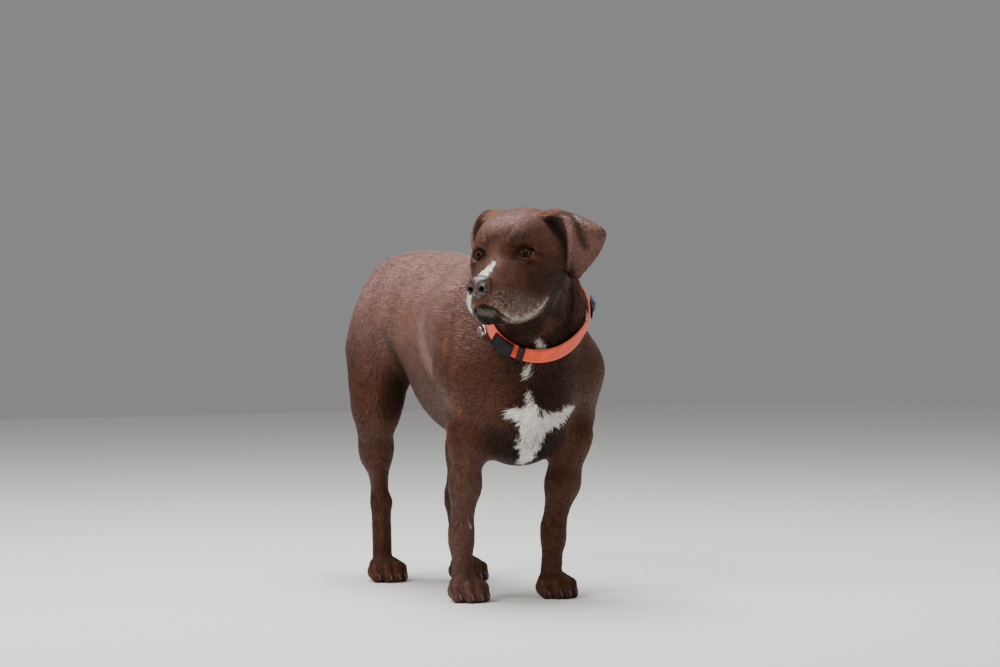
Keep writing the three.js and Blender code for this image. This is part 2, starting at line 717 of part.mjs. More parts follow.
// What sits on the strap: its two end angles, half its width, its two faces over the strap, its steps.
const fittings = [
  { name: 'buckle', ends: [-76, -51], reach: 15, faces: [1.4, 9], steps: 5, material: blackPlastic },
  { name: 'slider', ends: [-46, -41], reach: 15, faces: [1.2, 4.5], steps: 1, material: blackPlastic },
];

// The tracker: a clip and a case on it, both blocks with slanted edges that lie against the strap.
const trackerBlocks = [
  { name: 'tracker_clip', angle: 80, off: 1.4, long: 30, tall: 27, deep: 2.4, slant: 0.8, material: blackPlastic },
  { name: 'tracker_case', angle: 86, off: 4.8, long: 22, tall: 26, deep: 6, slant: 1.6, material: greyPlastic },
];

function blockOnStrap(off, { angle, long, tall, deep, slant }) {
  const [x, y] = [long / 2 - slant, tall / 2 - slant];
  const face = new THREE.Shape();
  face.setFromPoints([[-x, -y + slant], [-x + slant, -y], [x - slant, -y], [x, -y + slant],
    [x, y - slant], [x - slant, y], [-x + slant, y], [-x, y - slant]].map((p) => new THREE.Vector2(...p)));
  const bevel = { bevelEnabled: true, bevelSegments: 1, bevelSize: slant, bevelThickness: slant };
  const shape = new THREE.ExtrudeGeometry(face, { depth: deep - 2 * slant, ...bevel });
  const at = collarPlace(angle, 0, off + slant);
  const out = normalAt(at);
  const up = collarUp.clone().projectOnPlane(out).normalize();
  const around = new THREE.Vector3().crossVectors(up, out);
  return solidFrom(shape, new THREE.Matrix4().makeBasis(around, up, out).setPosition(at));
}

// The ring and the round tag that hang below the strap.
const hanging = { angle: -92, off: 6.2, wire: 1.3, ringRadius: 8, tagRadius: 10, tagThickness: 1.6 };

function makeCollar() {
  const w = strapWidth / 2;
  const top = strapLay + strapThickness;
  addNode('collar_strap', band(0, 360, [-w, w], strapLay, top, 36, true), webbing);
  for (const { name, ends, reach, faces, steps, material } of fittings) {
    const [near, far] = faces.map((face) => top + face);
    addNode(name, band(...ends, [-reach, 0, reach], near, far, steps, false), material);
  }
  for (const shape of trackerBlocks) {
    addNode(shape.name, blockOnStrap(top + shape.off, shape), shape.material);
  }
  const { angle, off, wire, ringRadius, tagRadius, tagThickness } = hanging;
  const hang = (height) => {
    const at = collarPlace(angle, height, top + off);
    const out = at.clone().sub(collarCentre).projectOnPlane(collarUp).normalize();
    const turn = new THREE.Quaternion().setFromUnitVectors(new THREE.Vector3(0, 0, 1), out);
    return new THREE.Matrix4().compose(at, turn, new THREE.Vector3(1, 1, 1));
  };
  addNode('ring', solidFrom(new THREE.TorusGeometry(ringRadius, wire, 6, 12), hang(-w)), steel);
  const disc = new THREE.CylinderGeometry(tagRadius, tagRadius, tagThickness, 16).rotateX(Math.PI / 2);
  addNode('tag', solidFrom(disc, hang(-w - ringRadius - wire - tagRadius - gap)), steel);
}

// Moves the dog so that the origin is under the middle of its box, on the floor.
function standOnOrigin() {
  const box = new THREE.Box3().setFromObject(dog);
  const middle = box.getCenter(new THREE.Vector3());
  for (const node of dog.children) node.geometry.translate(-middle.x, -middle.y, -box.min.z);
}

makeHead();
makeTrunk();
makeNeck();
makeTail();
makeLegs();
makePaws();
makeCollar();
standOnOrigin();
export default dog;
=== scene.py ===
# A standing brown dog with a white chest mark and an orange collar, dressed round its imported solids.
# Metres, +Z up. The dog faces -Y, its left side is +X, and it stands on z = 0.
import math
import bpy
import bmesh
import numpy as np
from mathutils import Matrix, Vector


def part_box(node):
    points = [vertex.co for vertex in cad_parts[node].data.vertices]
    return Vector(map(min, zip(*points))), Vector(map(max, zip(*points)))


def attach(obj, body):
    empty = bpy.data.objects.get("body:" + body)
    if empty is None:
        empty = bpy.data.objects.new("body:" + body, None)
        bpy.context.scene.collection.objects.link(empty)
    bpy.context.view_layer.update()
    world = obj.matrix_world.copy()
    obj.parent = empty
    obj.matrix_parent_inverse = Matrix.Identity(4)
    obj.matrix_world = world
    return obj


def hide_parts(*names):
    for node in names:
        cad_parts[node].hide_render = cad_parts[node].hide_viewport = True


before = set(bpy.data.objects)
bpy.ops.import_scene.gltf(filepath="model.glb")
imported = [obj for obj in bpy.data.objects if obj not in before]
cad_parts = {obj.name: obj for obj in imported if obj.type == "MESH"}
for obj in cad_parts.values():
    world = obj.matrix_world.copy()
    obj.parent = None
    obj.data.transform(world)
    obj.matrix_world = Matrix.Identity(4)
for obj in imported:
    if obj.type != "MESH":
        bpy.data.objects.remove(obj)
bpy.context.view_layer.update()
rng = np.random.default_rng(7)

body = {
    "chestShift": 0.014,      # the chest leans over towards the dog's left
    "headTurn": 52.0,         # degrees the head is turned to the dog's right
    "headNod": 12.0,
    "headTilt": 3.0,
    "eyeMiddle": (-0.100, -0.411, 0.588),
    "eyeCentre": (-0.003, 0.041, 0.001),   # the left one, from between the eyes, in the head's frame
    "eyeRadius": 0.012,
    "collarCentre": (0.012, -0.296, 0.484),
    "collarUp": (-0.17, -0.73, 0.66),
}


def unit(v):
    # a vector, or rows of vectors, over their length
    v = np.asarray(v, float)
    return v / np.maximum(np.linalg.norm(v, axis=-1, keepdims=True), 1e-12)


def turnX(degrees):
    # a turn about the x axis as a matrix: y to y c - z s, z to y s + z c
    c, s = math.cos(math.radians(degrees)), math.sin(math.radians(degrees))
    return np.array([[1, 0, 0], [0, c, -s], [0, s, c]])


def turnY(degrees):
    # a turn about the y axis as a matrix: x to x c + z s, z to z c - x s
    c, s = math.cos(math.radians(degrees)), math.sin(math.radians(degrees))
    return np.array([[c, 0, s], [0, 1, 0], [-s, 0, c]])


def turnZ(degrees):
    # a turn about the z axis as a matrix: x to x c - y s, y to x s + y c
    c, s = math.cos(math.radians(degrees)), math.sin(math.radians(degrees))
    return np.array([[c, -s, 0], [s, c, 0], [0, 0, 1]])


# The head's own axes: forwards, left and up, as columns.
headAxes = turnZ(-90 - body["headTurn"]) @ turnY(body["headNod"]) @ turnX(body["headTilt"])
eyeMiddle = np.array(body["eyeMiddle"])


def toHead(p):
    # where points are in the head's frame: forwards, left, up from between the eyes
    return (p - eyeMiddle) @ headAxes


def fromHead(p):
    # the way back: places in the head's frame as places in the dog's own
    return np.asarray(p, float) @ headAxes.T + eyeMiddle


# The frame's origin is under the middle of the dog's box, so the shapes below, which start under the
# chest, are moved by the way from where they put the eyes to where the frame has them.
frameEyes = np.mean([np.array(corner) for side in ("left", "right")
                     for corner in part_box("eye_" + side)], axis=0)
place = frameEyes - fromHead(np.array(body["eyeCentre"]) * [1, 0, 1])
place[2] = 0.0 if abs(place[2]) < 0.002 else place[2]
print("place", place)


# The flesh as a field of distances: negative inside, zero on the tips of the coat.

def blendMin(a, b, width):
    # two distances joined with a rounded fillet: min(a, b) - h^2 w / 4, h = (w - |a - b|) / w
    h = np.maximum(width - np.abs(a - b), 0) / width
    return np.minimum(a, b) - h * h * width * 0.25


def bar(a, ra, b, rb, blend=0.02):
    # a round bar from a to b whose radius runs from ra to rb
    return {"a": np.array(a, float), "b": np.array(b, float), "ra": ra, "rb": rb, "blend": blend}


def egg(centre, half, blend=0.025, turn=None):
    # an egg about a centre, with three half sizes, and turned by a matrix
    axes = np.eye(3) if turn is None else turn
    return {"a": np.array(centre, float), "half": np.array(half, float), "blend": blend, "axes": axes}


def hollow(form):
    # the same form, to be dug out of what is there
    return {**form, "hollow": True}


def distanceTo(form, p):
    # how far points are from a bar: |q - t line| - (ra + (rb - ra) t); from an egg, with k its length
    # in half sizes: k (k - 1) / |slope of k|
    q = p - form["a"]
    if "b" in form:
        line = form["b"] - form["a"]
        t = np.clip(q @ line / (line @ line), 0, 1)
        return np.linalg.norm(q - t[:, None] * line, axis=1) - (form["ra"] + (form["rb"] - form["ra"]) * t)
    scaled = (q @ form["axes"]) / form["half"]
    near = np.linalg.norm(scaled, axis=1)
    slope = np.linalg.norm(scaled / form["half"], axis=1)
    return np.where(slope < 1e-6, -form["half"].min(), near * (near - 1) / np.maximum(slope, 1e-6))


def laidOver(q):
    # places with the right side laid over the left
    return np.column_stack([q[:, 0], np.abs(q[:, 1]), q[:, 2]])


def joined(forms, p, start=1.0):
    # forms melted together one after the other; a form is only worked out where its ball is near
    d = np.full(len(p), start)
    for form in forms:
        end = form.get("b", form["a"])
        middle = (form["a"] + end) / 2
        thickest = max(form["ra"], form["rb"]) if "b" in form else form["half"].max()
        reach = np.linalg.norm(form["a"] - middle) + thickest
        far = np.linalg.norm(p - middle, axis=1) - reach
        dig = form.get("hollow", False)
        near = far < (form["blend"] - d if dig else d + form["blend"])
        if near.any():
            new = distanceTo(form, p[near])
            if dig:
                d[near] = -blendMin(-d[near], new, form["blend"])
            else:
                d[near] = blendMin(d[near], new, form["blend"])
    return d


chest = body["chestShift"]
# rib cage, belly, loin, croup, withers and brisket
trunkForms = [
    egg((chest, -0.1, 0.415), (0.128, 0.208, 0.158), 0.001, turnX(4)),
    egg((chest * 0.3, 0.038, 0.47), (0.105, 0.138, 0.113), 0.036),
    egg((0.002, 0.095, 0.486), (0.102, 0.155, 0.096), 0.04),
    egg((0.0, 0.165, 0.479), (0.103, 0.117, 0.107), 0.04),
    bar((chest, -0.19, 0.52), 0.054, (chest * 0.5, -0.05, 0.512), 0.052, 0.05),
    egg((chest + 0.002, -0.255, 0.385), (0.1, 0.082, 0.1), 0.045),
    egg((chest + 0.002, -0.22, 0.299), (0.076, 0.098, 0.074), 0.045),
]
for side in (1, -1):  # shoulder blade and upper arm
    trunkForms += [
        bar((chest * 1.3 + side * 0.085, -0.15, 0.49), 0.048,
            (chest * 1.3 + side * 0.09, -0.228, 0.392), 0.054, 0.045),
        bar((chest * 1.3 + side * 0.093, -0.222, 0.385), 0.053,
            (chest * 3 + side * 0.086, -0.192, 0.315), 0.046, 0.04),
    ]


def smoothLine(points, steps):
    # a Catmull-Rom curve through points: (2b + (c - a) t + (2a - 5b + 4c - d) t^2
    # + (3b - a - 3c + d) t^3) / 2 between b and c
    points = np.concatenate([[2 * points[0] - points[1]], points, [2 * points[-1] - points[-2]]])
    a, b, c, d = (points[n:len(points) - 3 + n, None] for n in range(4))
    t = (np.arange(steps) / steps)[:, None]
    curve = (2 * b + (c - a) * t + (2 * a - 5 * b + 4 * c - d) * t ** 2
             + (3 * b - a - 3 * c + d) * t ** 3) / 2
    return np.concatenate([curve.reshape(-1, points.shape[1]), points[-2:-1]])


tailPath = [(0, 0.265, 0.54), (0.002, 0.312, 0.515), (0.004, 0.338, 0.46),
            (0.005, 0.346, 0.39), (0.006, 0.345, 0.32), (0.006, 0.34, 0.262)]
tailRadius = [0.032, 0.025, 0.02, 0.017, 0.013, 0.008]
tailCurve = smoothLine(np.column_stack([tailPath, tailRadius]), 5)
tailForms = [bar(a[:3], a[3], b[:3], b[3], 0.004 if i > 2 else 0.025)
             for i, (a, b) in enumerate(zip(tailCurve[:-1], tailCurve[1:]))]

neckForms = [
    bar((chest + 0.017, -0.172, 0.472), 0.076, (chest + 0.012, -0.285, 0.496), 0.07, 0.045),
    bar((chest + 0.012, -0.285, 0.496), 0.072, (-0.02, -0.35, 0.584), 0.065, 0.035),
    bar((chest + 0.004, -0.272, 0.418), 0.062, (-0.036, -0.368, 0.536), 0.038, 0.035),
]


toes = {
    "spots": (-1.5, -0.5, 0.5, 1.5),   # from the dog's right to its left, in toes from the middle
    "apart": 0.0165,
    "long": 0.036, "short": 0.024,     # how far the two middle toes and the outer two reach forwards
    "forwards": 0.018,                 # the paw's middle lies this far before the leg's end
}


def toeTip(x, y, spot):
    # where a toe ends, seen from above
    return x + spot * toes["apart"], y - (toes["long"] if abs(spot) < 1 else toes["short"])


def pawForms(x, y):
    # a pad block and four arched toes, the middle two longer
    forms = [egg((x, y + 0.012, 0.017), (0.028, 0.03, 0.022), 0.012)]
    for spot in toes["spots"]:
        tipX, tipY = toeTip(x, y, spot)
        knuckle = 0.027 if abs(spot) < 1 else 0.024
        forms += [
            bar((x + spot * 0.011, y + 0.004, 0.03), 0.013, (tipX, tipY + 0.014, knuckle), 0.0112, 0.006),
            bar((tipX, tipY + 0.014, knuckle - 0.001), 0.0115, (tipX, tipY + 0.004, 0.009), 0.0104, 0.0035),
        ]
    return forms


def foreLeg(elbow, wrist, foot, middle=0.0285):
    # a fore leg from places seen from above: elbow, forearm to the wrist, pastern and paw
    (ex, ey), (wx, wy), (fx, fy) = elbow, wrist, foot
    return [
        bar((ex, ey + 0.012, 0.292), 0.021, (ex, ey - 0.008, 0.27), 0.031, 0.022),
        bar((ex, ey - 0.009, 0.275), 0.032, ((ex + wx) / 2, (ey + wy) / 2 - 0.006, 0.195), middle, 0.025),
        bar(((ex + wx) / 2, (ey + wy) / 2 - 0.006, 0.195), middle, (wx, wy, 0.122), 0.0205, 0.02),
        bar((wx, wy - 0.002, 0.118), 0.0205, (wx, wy - 0.002, 0.1), 0.0205, 0.015),
        bar((wx, wy, 0.1), 0.019, (fx, fy - 0.004, 0.038), 0.019, 0.015),
    ] + pawForms(fx, fy - toes["forwards"])


def hindLeg(side, stifle, hock, foot):
    # a hind leg from places seen from above: thigh, stifle, gaskin, the cord to the hock, and the paw
    (sx, sy), (hx, hy), (fx, fy) = stifle, hock, foot
    mx, my = (sx + hx) / 2, (sy + hy) / 2
    return [
        bar((side * 0.052, 0.165, 0.445), 0.068, (sx * 0.94, sy + 0.02, 0.355), 0.043, 0.045),
        bar((sx * 0.94, sy + 0.018, 0.35), 0.043, (sx, sy + 0.012, 0.308), 0.033, 0.03),
        bar((side * 0.065, 0.204, 0.408), 0.054, (sx * 0.9, sy + 0.06, 0.325), 0.037, 0.04),
        bar((sx, sy + 0.01, 0.315), 0.034, (mx, my + 0.014, 0.235), 0.025, 0.03),
        bar((sx * 0.92, sy + 0.058, 0.3), 0.03, (mx + side * 0.002, my + 0.028, 0.225), 0.022, 0.025),
        bar((mx, my + 0.014, 0.235), 0.023, (hx, hy - 0.006, 0.165), 0.015, 0.025),
        bar((hx, hy + 0.016, 0.16), 0.009, (mx, hy - 0.004, 0.225), 0.012, 0.02),
        bar((hx, hy + 0.012, 0.15), 0.011, (hx, hy - 0.01, 0.14), 0.017, 0.015),
        bar((hx, hy - 0.006, 0.138), 0.019, (fx, fy - 0.004, 0.042), 0.018, 0.015),
    ] + pawForms(fx, fy - toes["forwards"])


# where each leg ends, seen from above, under the names that its claws have in the frame
feet = {"fore_leg_left": (0.084, -0.206), "fore_leg_right": (-0.083, -0.21),
        "hind_leg_left": (0.08, 0.148), "hind_leg_right": (-0.057, 0.195)}
legForms = [
    foreLeg((0.112, -0.222), (0.089, -0.208), feet["fore_leg_left"]),
    foreLeg((-0.073, -0.204), (-0.084, -0.208), feet["fore_leg_right"], 0.026),
    hindLeg(1, (0.086, 0.088), (0.074, 0.172), feet["hind_leg_left"]),
    hindLeg(-1, (-0.085, 0.13), (-0.052, 0.215), feet["hind_leg_right"]),
]

# skull, brows, cheeks, muzzle, lips and jaw, in the head's frame; the left side stands for both
headForms = [
    egg((-0.064, 0, 0.004), (0.076, 0.066, 0.059), 0.001),
    egg((-0.03, 0, 0.014), (0.044, 0.054, 0.042), 0.03),
    egg((-0.086, 0, -0.01), (0.054, 0.074, 0.048), 0.03),
    bar((-0.02, 0, 0.014), 0.035, (0.018, 0, -0.016), 0.022, 0.024),
    egg((-0.046, 0.043, -0.04), (0.05, 0.032, 0.05), 0.03),
    bar((-0.008, 0.044, -0.016), 0.014, (-0.062, 0.054, -0.01), 0.016, 0.025),
    bar((-0.008, 0.034, -0.034), 0.02, (0.034, 0.02, -0.044), 0.02, 0.025),
    egg((-0.002, 0.026, 0.018), (0.016, 0.018, 0.012), 0.016),
    bar((0, 0, -0.03), 0.034, (0.063, 0, -0.043), 0.025, 0.024),
    bar((0.01, 0, -0.014), 0.017, (0.078, 0, -0.032), 0.014, 0.016),
    bar((-0.012, 0.028, -0.064), 0.025, (0.066, 0.019, -0.066), 0.021, 0.02),
    bar((-0.014, 0.03, -0.09), 0.019, (0.052, 0.02, -0.088), 0.017, 0.018),
    egg((0.07, 0, -0.06), (0.026, 0.037, 0.034), 0.014),
    bar((-0.044, 0.026, -0.082), 0.022, (0.014, 0.02, -0.094), 0.015, 0.02),
    bar((0.01, 0.01, -0.098), 0.014, (0.073, 0.006, -0.09), 0.0125, 0.014),
    bar((-0.066, 0, -0.07), 0.04, (-0.015, 0, -0.08), 0.028, 0.03),
    hollow(bar((0.004, 0.038, 0.004), 0.006, (0.046, 0.017, 0.013), 0.008, 0.012)),
]

eye = {
    "look": (0.93, 0.36, 0.0),   # the way the left eye looks, in the head's frame
    "halfWidth": 74,             # degrees from the middle of the opening to its corners
    "upper": 31, "lower": 33,    # degrees that the lids stand apart from the middle
    "gaze": 5.5, "spread": 11.4,  # degrees that the eyes look to the left, and apart
    "slant": 7,                  # the outer corner is higher
    "lid": 0.0021,
}
eyeCentre = np.array(body["eyeCentre"])
lookOut = unit(eye["look"])
lookSide = unit(np.cross([0, 0, 1], lookOut))
lookUp = np.cross(lookOut, lookSide)


def lidLine(height, reach, count=9):
    # points along a lid, on a ball of radius reach round the eye: the lid's angle falls as 1 - t^2
    t = np.linspace(-1, 1, count)
    across = np.radians(eye["halfWidth"]) * t
    rise = np.radians(height * (1 - t * t) + eye["slant"] * t)
    out = ((np.cos(rise) * np.cos(across))[:, None] * lookOut
           + (np.cos(rise) * np.sin(across))[:, None] * lookSide)
    return eyeCentre + reach * (out + np.sin(rise)[:, None] * lookUp)


def chain(points, radius, blend):
    # round bars of one radius from each point to the next
    return [bar(a, radius, b, radius, blend) for a, b in zip(points[:-1], points[1:])]


ballReach = body["eyeRadius"]
headDetail = [
    hollow(egg(eyeCentre + lookOut * 0.014, (0.012, 0.0125, 0.0085), 0.004,
               np.column_stack([lookOut, lookSide, lookUp]))),
    *chain(lidLine(eye["upper"], ballReach + 0.0014), eye["lid"], 0.0025),
    *chain(lidLine(-eye["lower"], ballReach + 0.0012), eye["lid"] * 0.9, 0.0022),
    hollow(egg(eyeCentre, (ballReach + 0.0001,) * 3, 0.0004)),
]

ears = {
    "left": [((-0.058, 0.042, 0.047), (-0.11, 0.048, 0.051)),
             ((-0.066, 0.069, 0.045), (-0.106, 0.098, 0.034)),
             ((-0.07, 0.087, 0.018), (-0.105, 0.138, 0.009)),
             ((-0.067, 0.077, -0.03), (-0.094, 0.125, -0.027)),
             ((-0.07, 0.08, -0.057), (-0.076, 0.093, -0.061))],
    "right": [((-0.058, -0.041, 0.049), (-0.1, -0.04, 0.055)),
              ((-0.058, -0.06, 0.045), (-0.106, -0.08, 0.052)),
              ((-0.062, -0.077, 0.019), (-0.104, -0.097, 0.02)),
              ((-0.068, -0.084, -0.014), (-0.098, -0.096, -0.02)),
              ((-0.074, -0.086, -0.046), (-0.084, -0.09, -0.05))],
    "thick": 0.0065,
    "tension": 0.4,
}


def earSheet(side, u, v):
    # a curve through the rows, a straight line across them, and a soft bulge: sin(pi u) sin(pi v)
    rows = np.array(ears["left" if side > 0 else "right"])
    rows = np.concatenate([[2 * rows[0] - rows[1]], rows, [2 * rows[-1] - rows[-2]]])
    spot = np.clip(v, 0, 1) * (len(rows) - 3)
    i = np.minimum(spot.astype(int), len(rows) - 4)
    t = (spot - i)[:, None]
    line = lambda n: rows[i + n, 0] * (1 - u)[:, None] + rows[i + n, 1] * u[:, None]
    a, b, c, d = line(0), line(1), line(2), line(3)
    m0, m1 = ears["tension"] * (c - a), ears["tension"] * (d - b)
    p = (2 * b - 2 * c + m0 + m1) * t ** 3 + (-3 * b + 3 * c - 2 * m0 - m1) * t ** 2 + m0 * t + b
    bulge = (0.006 if side > 0 else 0.01) * np.sin(np.pi * u) * np.sin(np.pi * v)
    p[:, 0] += bulge * 0.55
    p[:, 1] += side * bulge * 0.8
    return p


def earNearest(side, q):
    # the place on the ear sheet nearest to each point: the best of a grid, then four Newton steps
    gu, gv = [g.ravel() for g in np.meshgrid(np.linspace(0, 1, 8), np.linspace(0, 1, 17))]
    grid = earSheet(side, gu, gv)
    best = np.concatenate([((part[:, None] - grid) ** 2).sum(2).argmin(1)
                           for part in np.array_split(q, 1 + len(q) // 20000)])
    u, v = gu[best].copy(), gv[best].copy()
    step = 0.01
    for _ in range(4):
        p = earSheet(side, u, v)
        du = (earSheet(side, u + step, v) - earSheet(side, u - step, v)) / (2 * step)
        dv = (earSheet(side, u, np.minimum(v + step, 1)) - earSheet(side, u, np.maximum(v - step, 0)))
        dv /= (np.minimum(v + step, 1) - np.maximum(v - step, 0))[:, None]
        r = q - p
        a, b, c = (du * du).sum(1), (du * dv).sum(1), (dv * dv).sum(1)
        e, f = (du * r).sum(1), (dv * r).sum(1)
        det = np.maximum(a * c - b * b, 1e-14)
        u = np.clip(u + np.clip((c * e - b * f) / det, -0.3, 0.3), 0, 1)
        v = np.clip(v + np.clip((a * f - b * e) / det, -0.2, 0.2), 0, 1)
    return u, v, np.linalg.norm(q - earSheet(side, u, v), axis=1)


def nearEar(side, q, reach):
    # which points lie within a reach of the middle of an ear
    return np.flatnonzero(np.linalg.norm(q - [-0.085, side * 0.085, -0.005], axis=1) < reach)


def headField(q, start=1.0):
    # q is in the head's frame; both ears are melted on at their roots and hang free below
    d = joined(headForms + headDetail, laidOver(q), start)
    for side in (1, -1):
        near = nearEar(side, q, 0.105)
        if len(near):
            _, v, away = earNearest(side, q[near])
            width = 0.0015 + 0.012 * np.clip(1 - v / 0.35, 0, 1)
            d[near] = blendMin(d[near], away - ears["thick"] / 2, width)
    return d


def fleshField(p):
    # the whole dog to the tips of its coat: trunk, tail and neck, then the legs, then the head
    d = joined(trunkForms + tailForms + neckForms, p)
    for forms in legForms:
        d = blendMin(d, joined(forms, p), 0.035)
    near = np.linalg.norm(p - fromHead([-0.03, 0, -0.02]), axis=1) < 0.22
    if near.any():
        d[near] = blendMin(d[near], headField(toHead(p[near])), 0.03)
    return d


def coatDepth(p):
    # how far the skin lies under the tips of the hairs: least on the face and the feet
    headNear = np.linalg.norm(p - fromHead([0.02, 0, -0.03]), axis=1)
    onHead = np.clip((headNear - 0.07) / 0.08, 0, 1)
    offHead = np.clip((headNear - 0.17) / 0.05, 0, 1)
    onFeet = np.clip((p[:, 2] - 0.03) / 0.12, 0, 1)
    return 0.0009 + 0.0005 * onHead * onFeet + 0.0008 * np.minimum(offHead, onFeet)


def skinField(p):
    # the skin under the coat: the field plus the coat's depth
    return fleshField(p) + coatDepth(p)


def slopeOf(field, p, d):
    # the field's slope at each point, by a small step along each axis
    step = 2e-4
    return np.column_stack([(field(p + step * np.eye(3)[axis]) - d) / step for axis in range(3)])


def pullOn(field, p, passes=2, most=0.004):
    # Newton steps bring points on to the surface: p -= n d / |n|^2
    for _ in range(passes):
        d = field(p)
        slope = slopeOf(field, p, d)
        size = np.maximum((slope ** 2).sum(1), 0.09)
        p = p - np.clip(d / size, -most, most)[:, None] * slope
    return p


# Meshes from the field.

def surfaceNet(low, high, step, field, coarse=4):
    # one vertex in each cell of a grid that the surface crosses, at the mean of its edge crossings;
    # a coarse grid is worked out first, and the fine one only near the surface
    cells = [int(math.ceil((high[a] - low[a]) / (step * coarse))) * coarse for a in range(3)]
    axes = [low[a] + step * np.arange(cells[a] + 1) for a in range(3)]
    wide = np.stack(np.meshgrid(*[axis[::coarse] for axis in axes], indexing="ij"), -1)
    value = field(wide.reshape(-1, 3)).reshape(wide.shape[:3])
    for a in range(3):
        part = np.moveaxis(value, a, 0)
        fine = np.repeat(part[:-1], coarse, axis=0)
        share = np.tile(np.arange(coarse) / coarse, len(part) - 1).reshape(-1, 1, 1)
        fine = fine * (1 - share) + np.repeat(part[1:], coarse, axis=0) * share
        value = np.moveaxis(np.concatenate([fine, part[-1:]]), 0, a)
    near = np.argwhere(np.abs(value) < step * coarse * 1.1)
    value[tuple(near.T)] = field(np.array(low) + step * near)
    inside = value < 0
    inside[[0, -1]] = False
    inside[:, [0, -1]] = False
    inside[:, :, [0, -1]] = False
    value = np.where(inside, np.minimum(value, -1e-9), np.maximum(value, 1e-9))
    corners = np.array([[n & 1, n >> 1 & 1, n >> 2] for n in range(8)])
    shape = np.array(inside.shape) - 1
    total = sum(inside[c[0]:c[0] + shape[0], c[1]:c[1] + shape[1], c[2]:c[2] + shape[2]].astype(np.int8)
                for c in corners)
    cell = np.argwhere((total > 0) & (total < 8))
    number = np.full(shape, -1)
    number[tuple(cell.T)] = np.arange(len(cell))
    level = np.stack([value[tuple((cell + c).T)] for c in corners], 1)
    points = np.zeros((len(cell), 3))
    crossings = np.zeros(len(cell))
    for a in range(3):
        for m in np.flatnonzero(corners[:, a] == 0):
            first, last = level[:, m], level[:, m + (1 << a)]
            cut = (first < 0) != (last < 0)
            t = np.where(cut, first / np.where(cut, first - last, 1), 0)
            points += np.where(cut[:, None], cell + corners[m] + t[:, None] * np.eye(3)[a], 0)
            crossings += cut
    points = np.array(low) + step * points / crossings[:, None]
    quads = []
    for a in range(3):
        b, c = (a + 1) % 3, (a + 2) % 3
        start = [slice(None)] * 3
        start[a] = slice(0, -1)
        end = [slice(None)] * 3
        end[a] = slice(1, None)
        for sign in (True, False):
            found = np.argwhere((inside[tuple(start)] == sign) & (inside[tuple(end)] != sign))
            ring = []
            for db, dc in ((0, 0), (-1, 0), (-1, -1), (0, -1)):
                spot = found.copy()
                spot[:, b] += db
                spot[:, c] += dc
                ring.append(number[tuple(spot.T)])
            ring = np.stack(ring, 1)
            quads.append(ring if sign else ring[:, ::-1])
    quads = np.concatenate(quads)
    return points, np.concatenate([quads[:, [0, 1, 2]], quads[:, [0, 2, 3]]])


def keepAbove(points, triangles, spot, normal):
    # the part of a mesh on the far side of a plane, cut clean
    mesh = bpy.data.meshes.new("cut")
    fillMesh(mesh, points, triangles)
    work = bmesh.new()
    work.from_mesh(mesh)
    bmesh.ops.bisect_plane(work, geom=work.verts[:] + work.edges[:] + work.faces[:], dist=1e-7,
                           plane_co=spot, plane_no=normal, clear_inner=True)
    bmesh.ops.triangulate(work, faces=work.faces[:])
    work.to_mesh(mesh)
    work.free()
    points = np.empty(len(mesh.vertices) * 3, np.float32)
    mesh.vertices.foreach_get("co", points)
    triangles = np.empty(len(mesh.polygons) * 3, np.int32)
    mesh.polygons.foreach_get("vertices", triangles)
    bpy.data.meshes.remove(mesh)
    return points.reshape(-1, 3).astype(float), triangles.reshape(-1, 3)


def fillMesh(mesh, points, triangles):
    # points and faces, all with the same number of corners, written to an empty mesh
    mesh.vertices.add(len(points))
    mesh.vertices.foreach_set("co", np.asarray(points, np.float32).ravel())
    mesh.loops.add(triangles.size)
    mesh.loops.foreach_set("vertex_index", np.asarray(triangles, np.int32).ravel())
    mesh.polygons.add(len(triangles))
    mesh.polygons.foreach_set("loop_start", np.arange(len(triangles), dtype=np.int32) * triangles.shape[1])
    mesh.update(calc_edges=True)


def zipped(points, upper, lower, centre, normal):
    # triangles between two rings round the same axis, stepping along whichever ring is behind
    across = unit(np.cross(normal, [0, 0, 1]))
    other = np.cross(normal, across)
    angle = lambda ring: np.arctan2((points[ring] - centre) @ other, (points[ring] - centre) @ across)
    upper, lower = upper[np.argsort(angle(upper))], lower[np.argsort(angle(lower))]
    au, al = angle(upper), angle(lower)
    n, m = len(upper), len(lower)
    below = np.searchsorted(al, au) - 1
    above = np.searchsorted(au, al) - 1
    first = np.column_stack([upper[np.arange(n) - 1], upper, lower[below % m]])
    second = np.column_stack([lower, lower[np.arange(m) - 1], upper[above % n]])
    return np.concatenate([first, second])


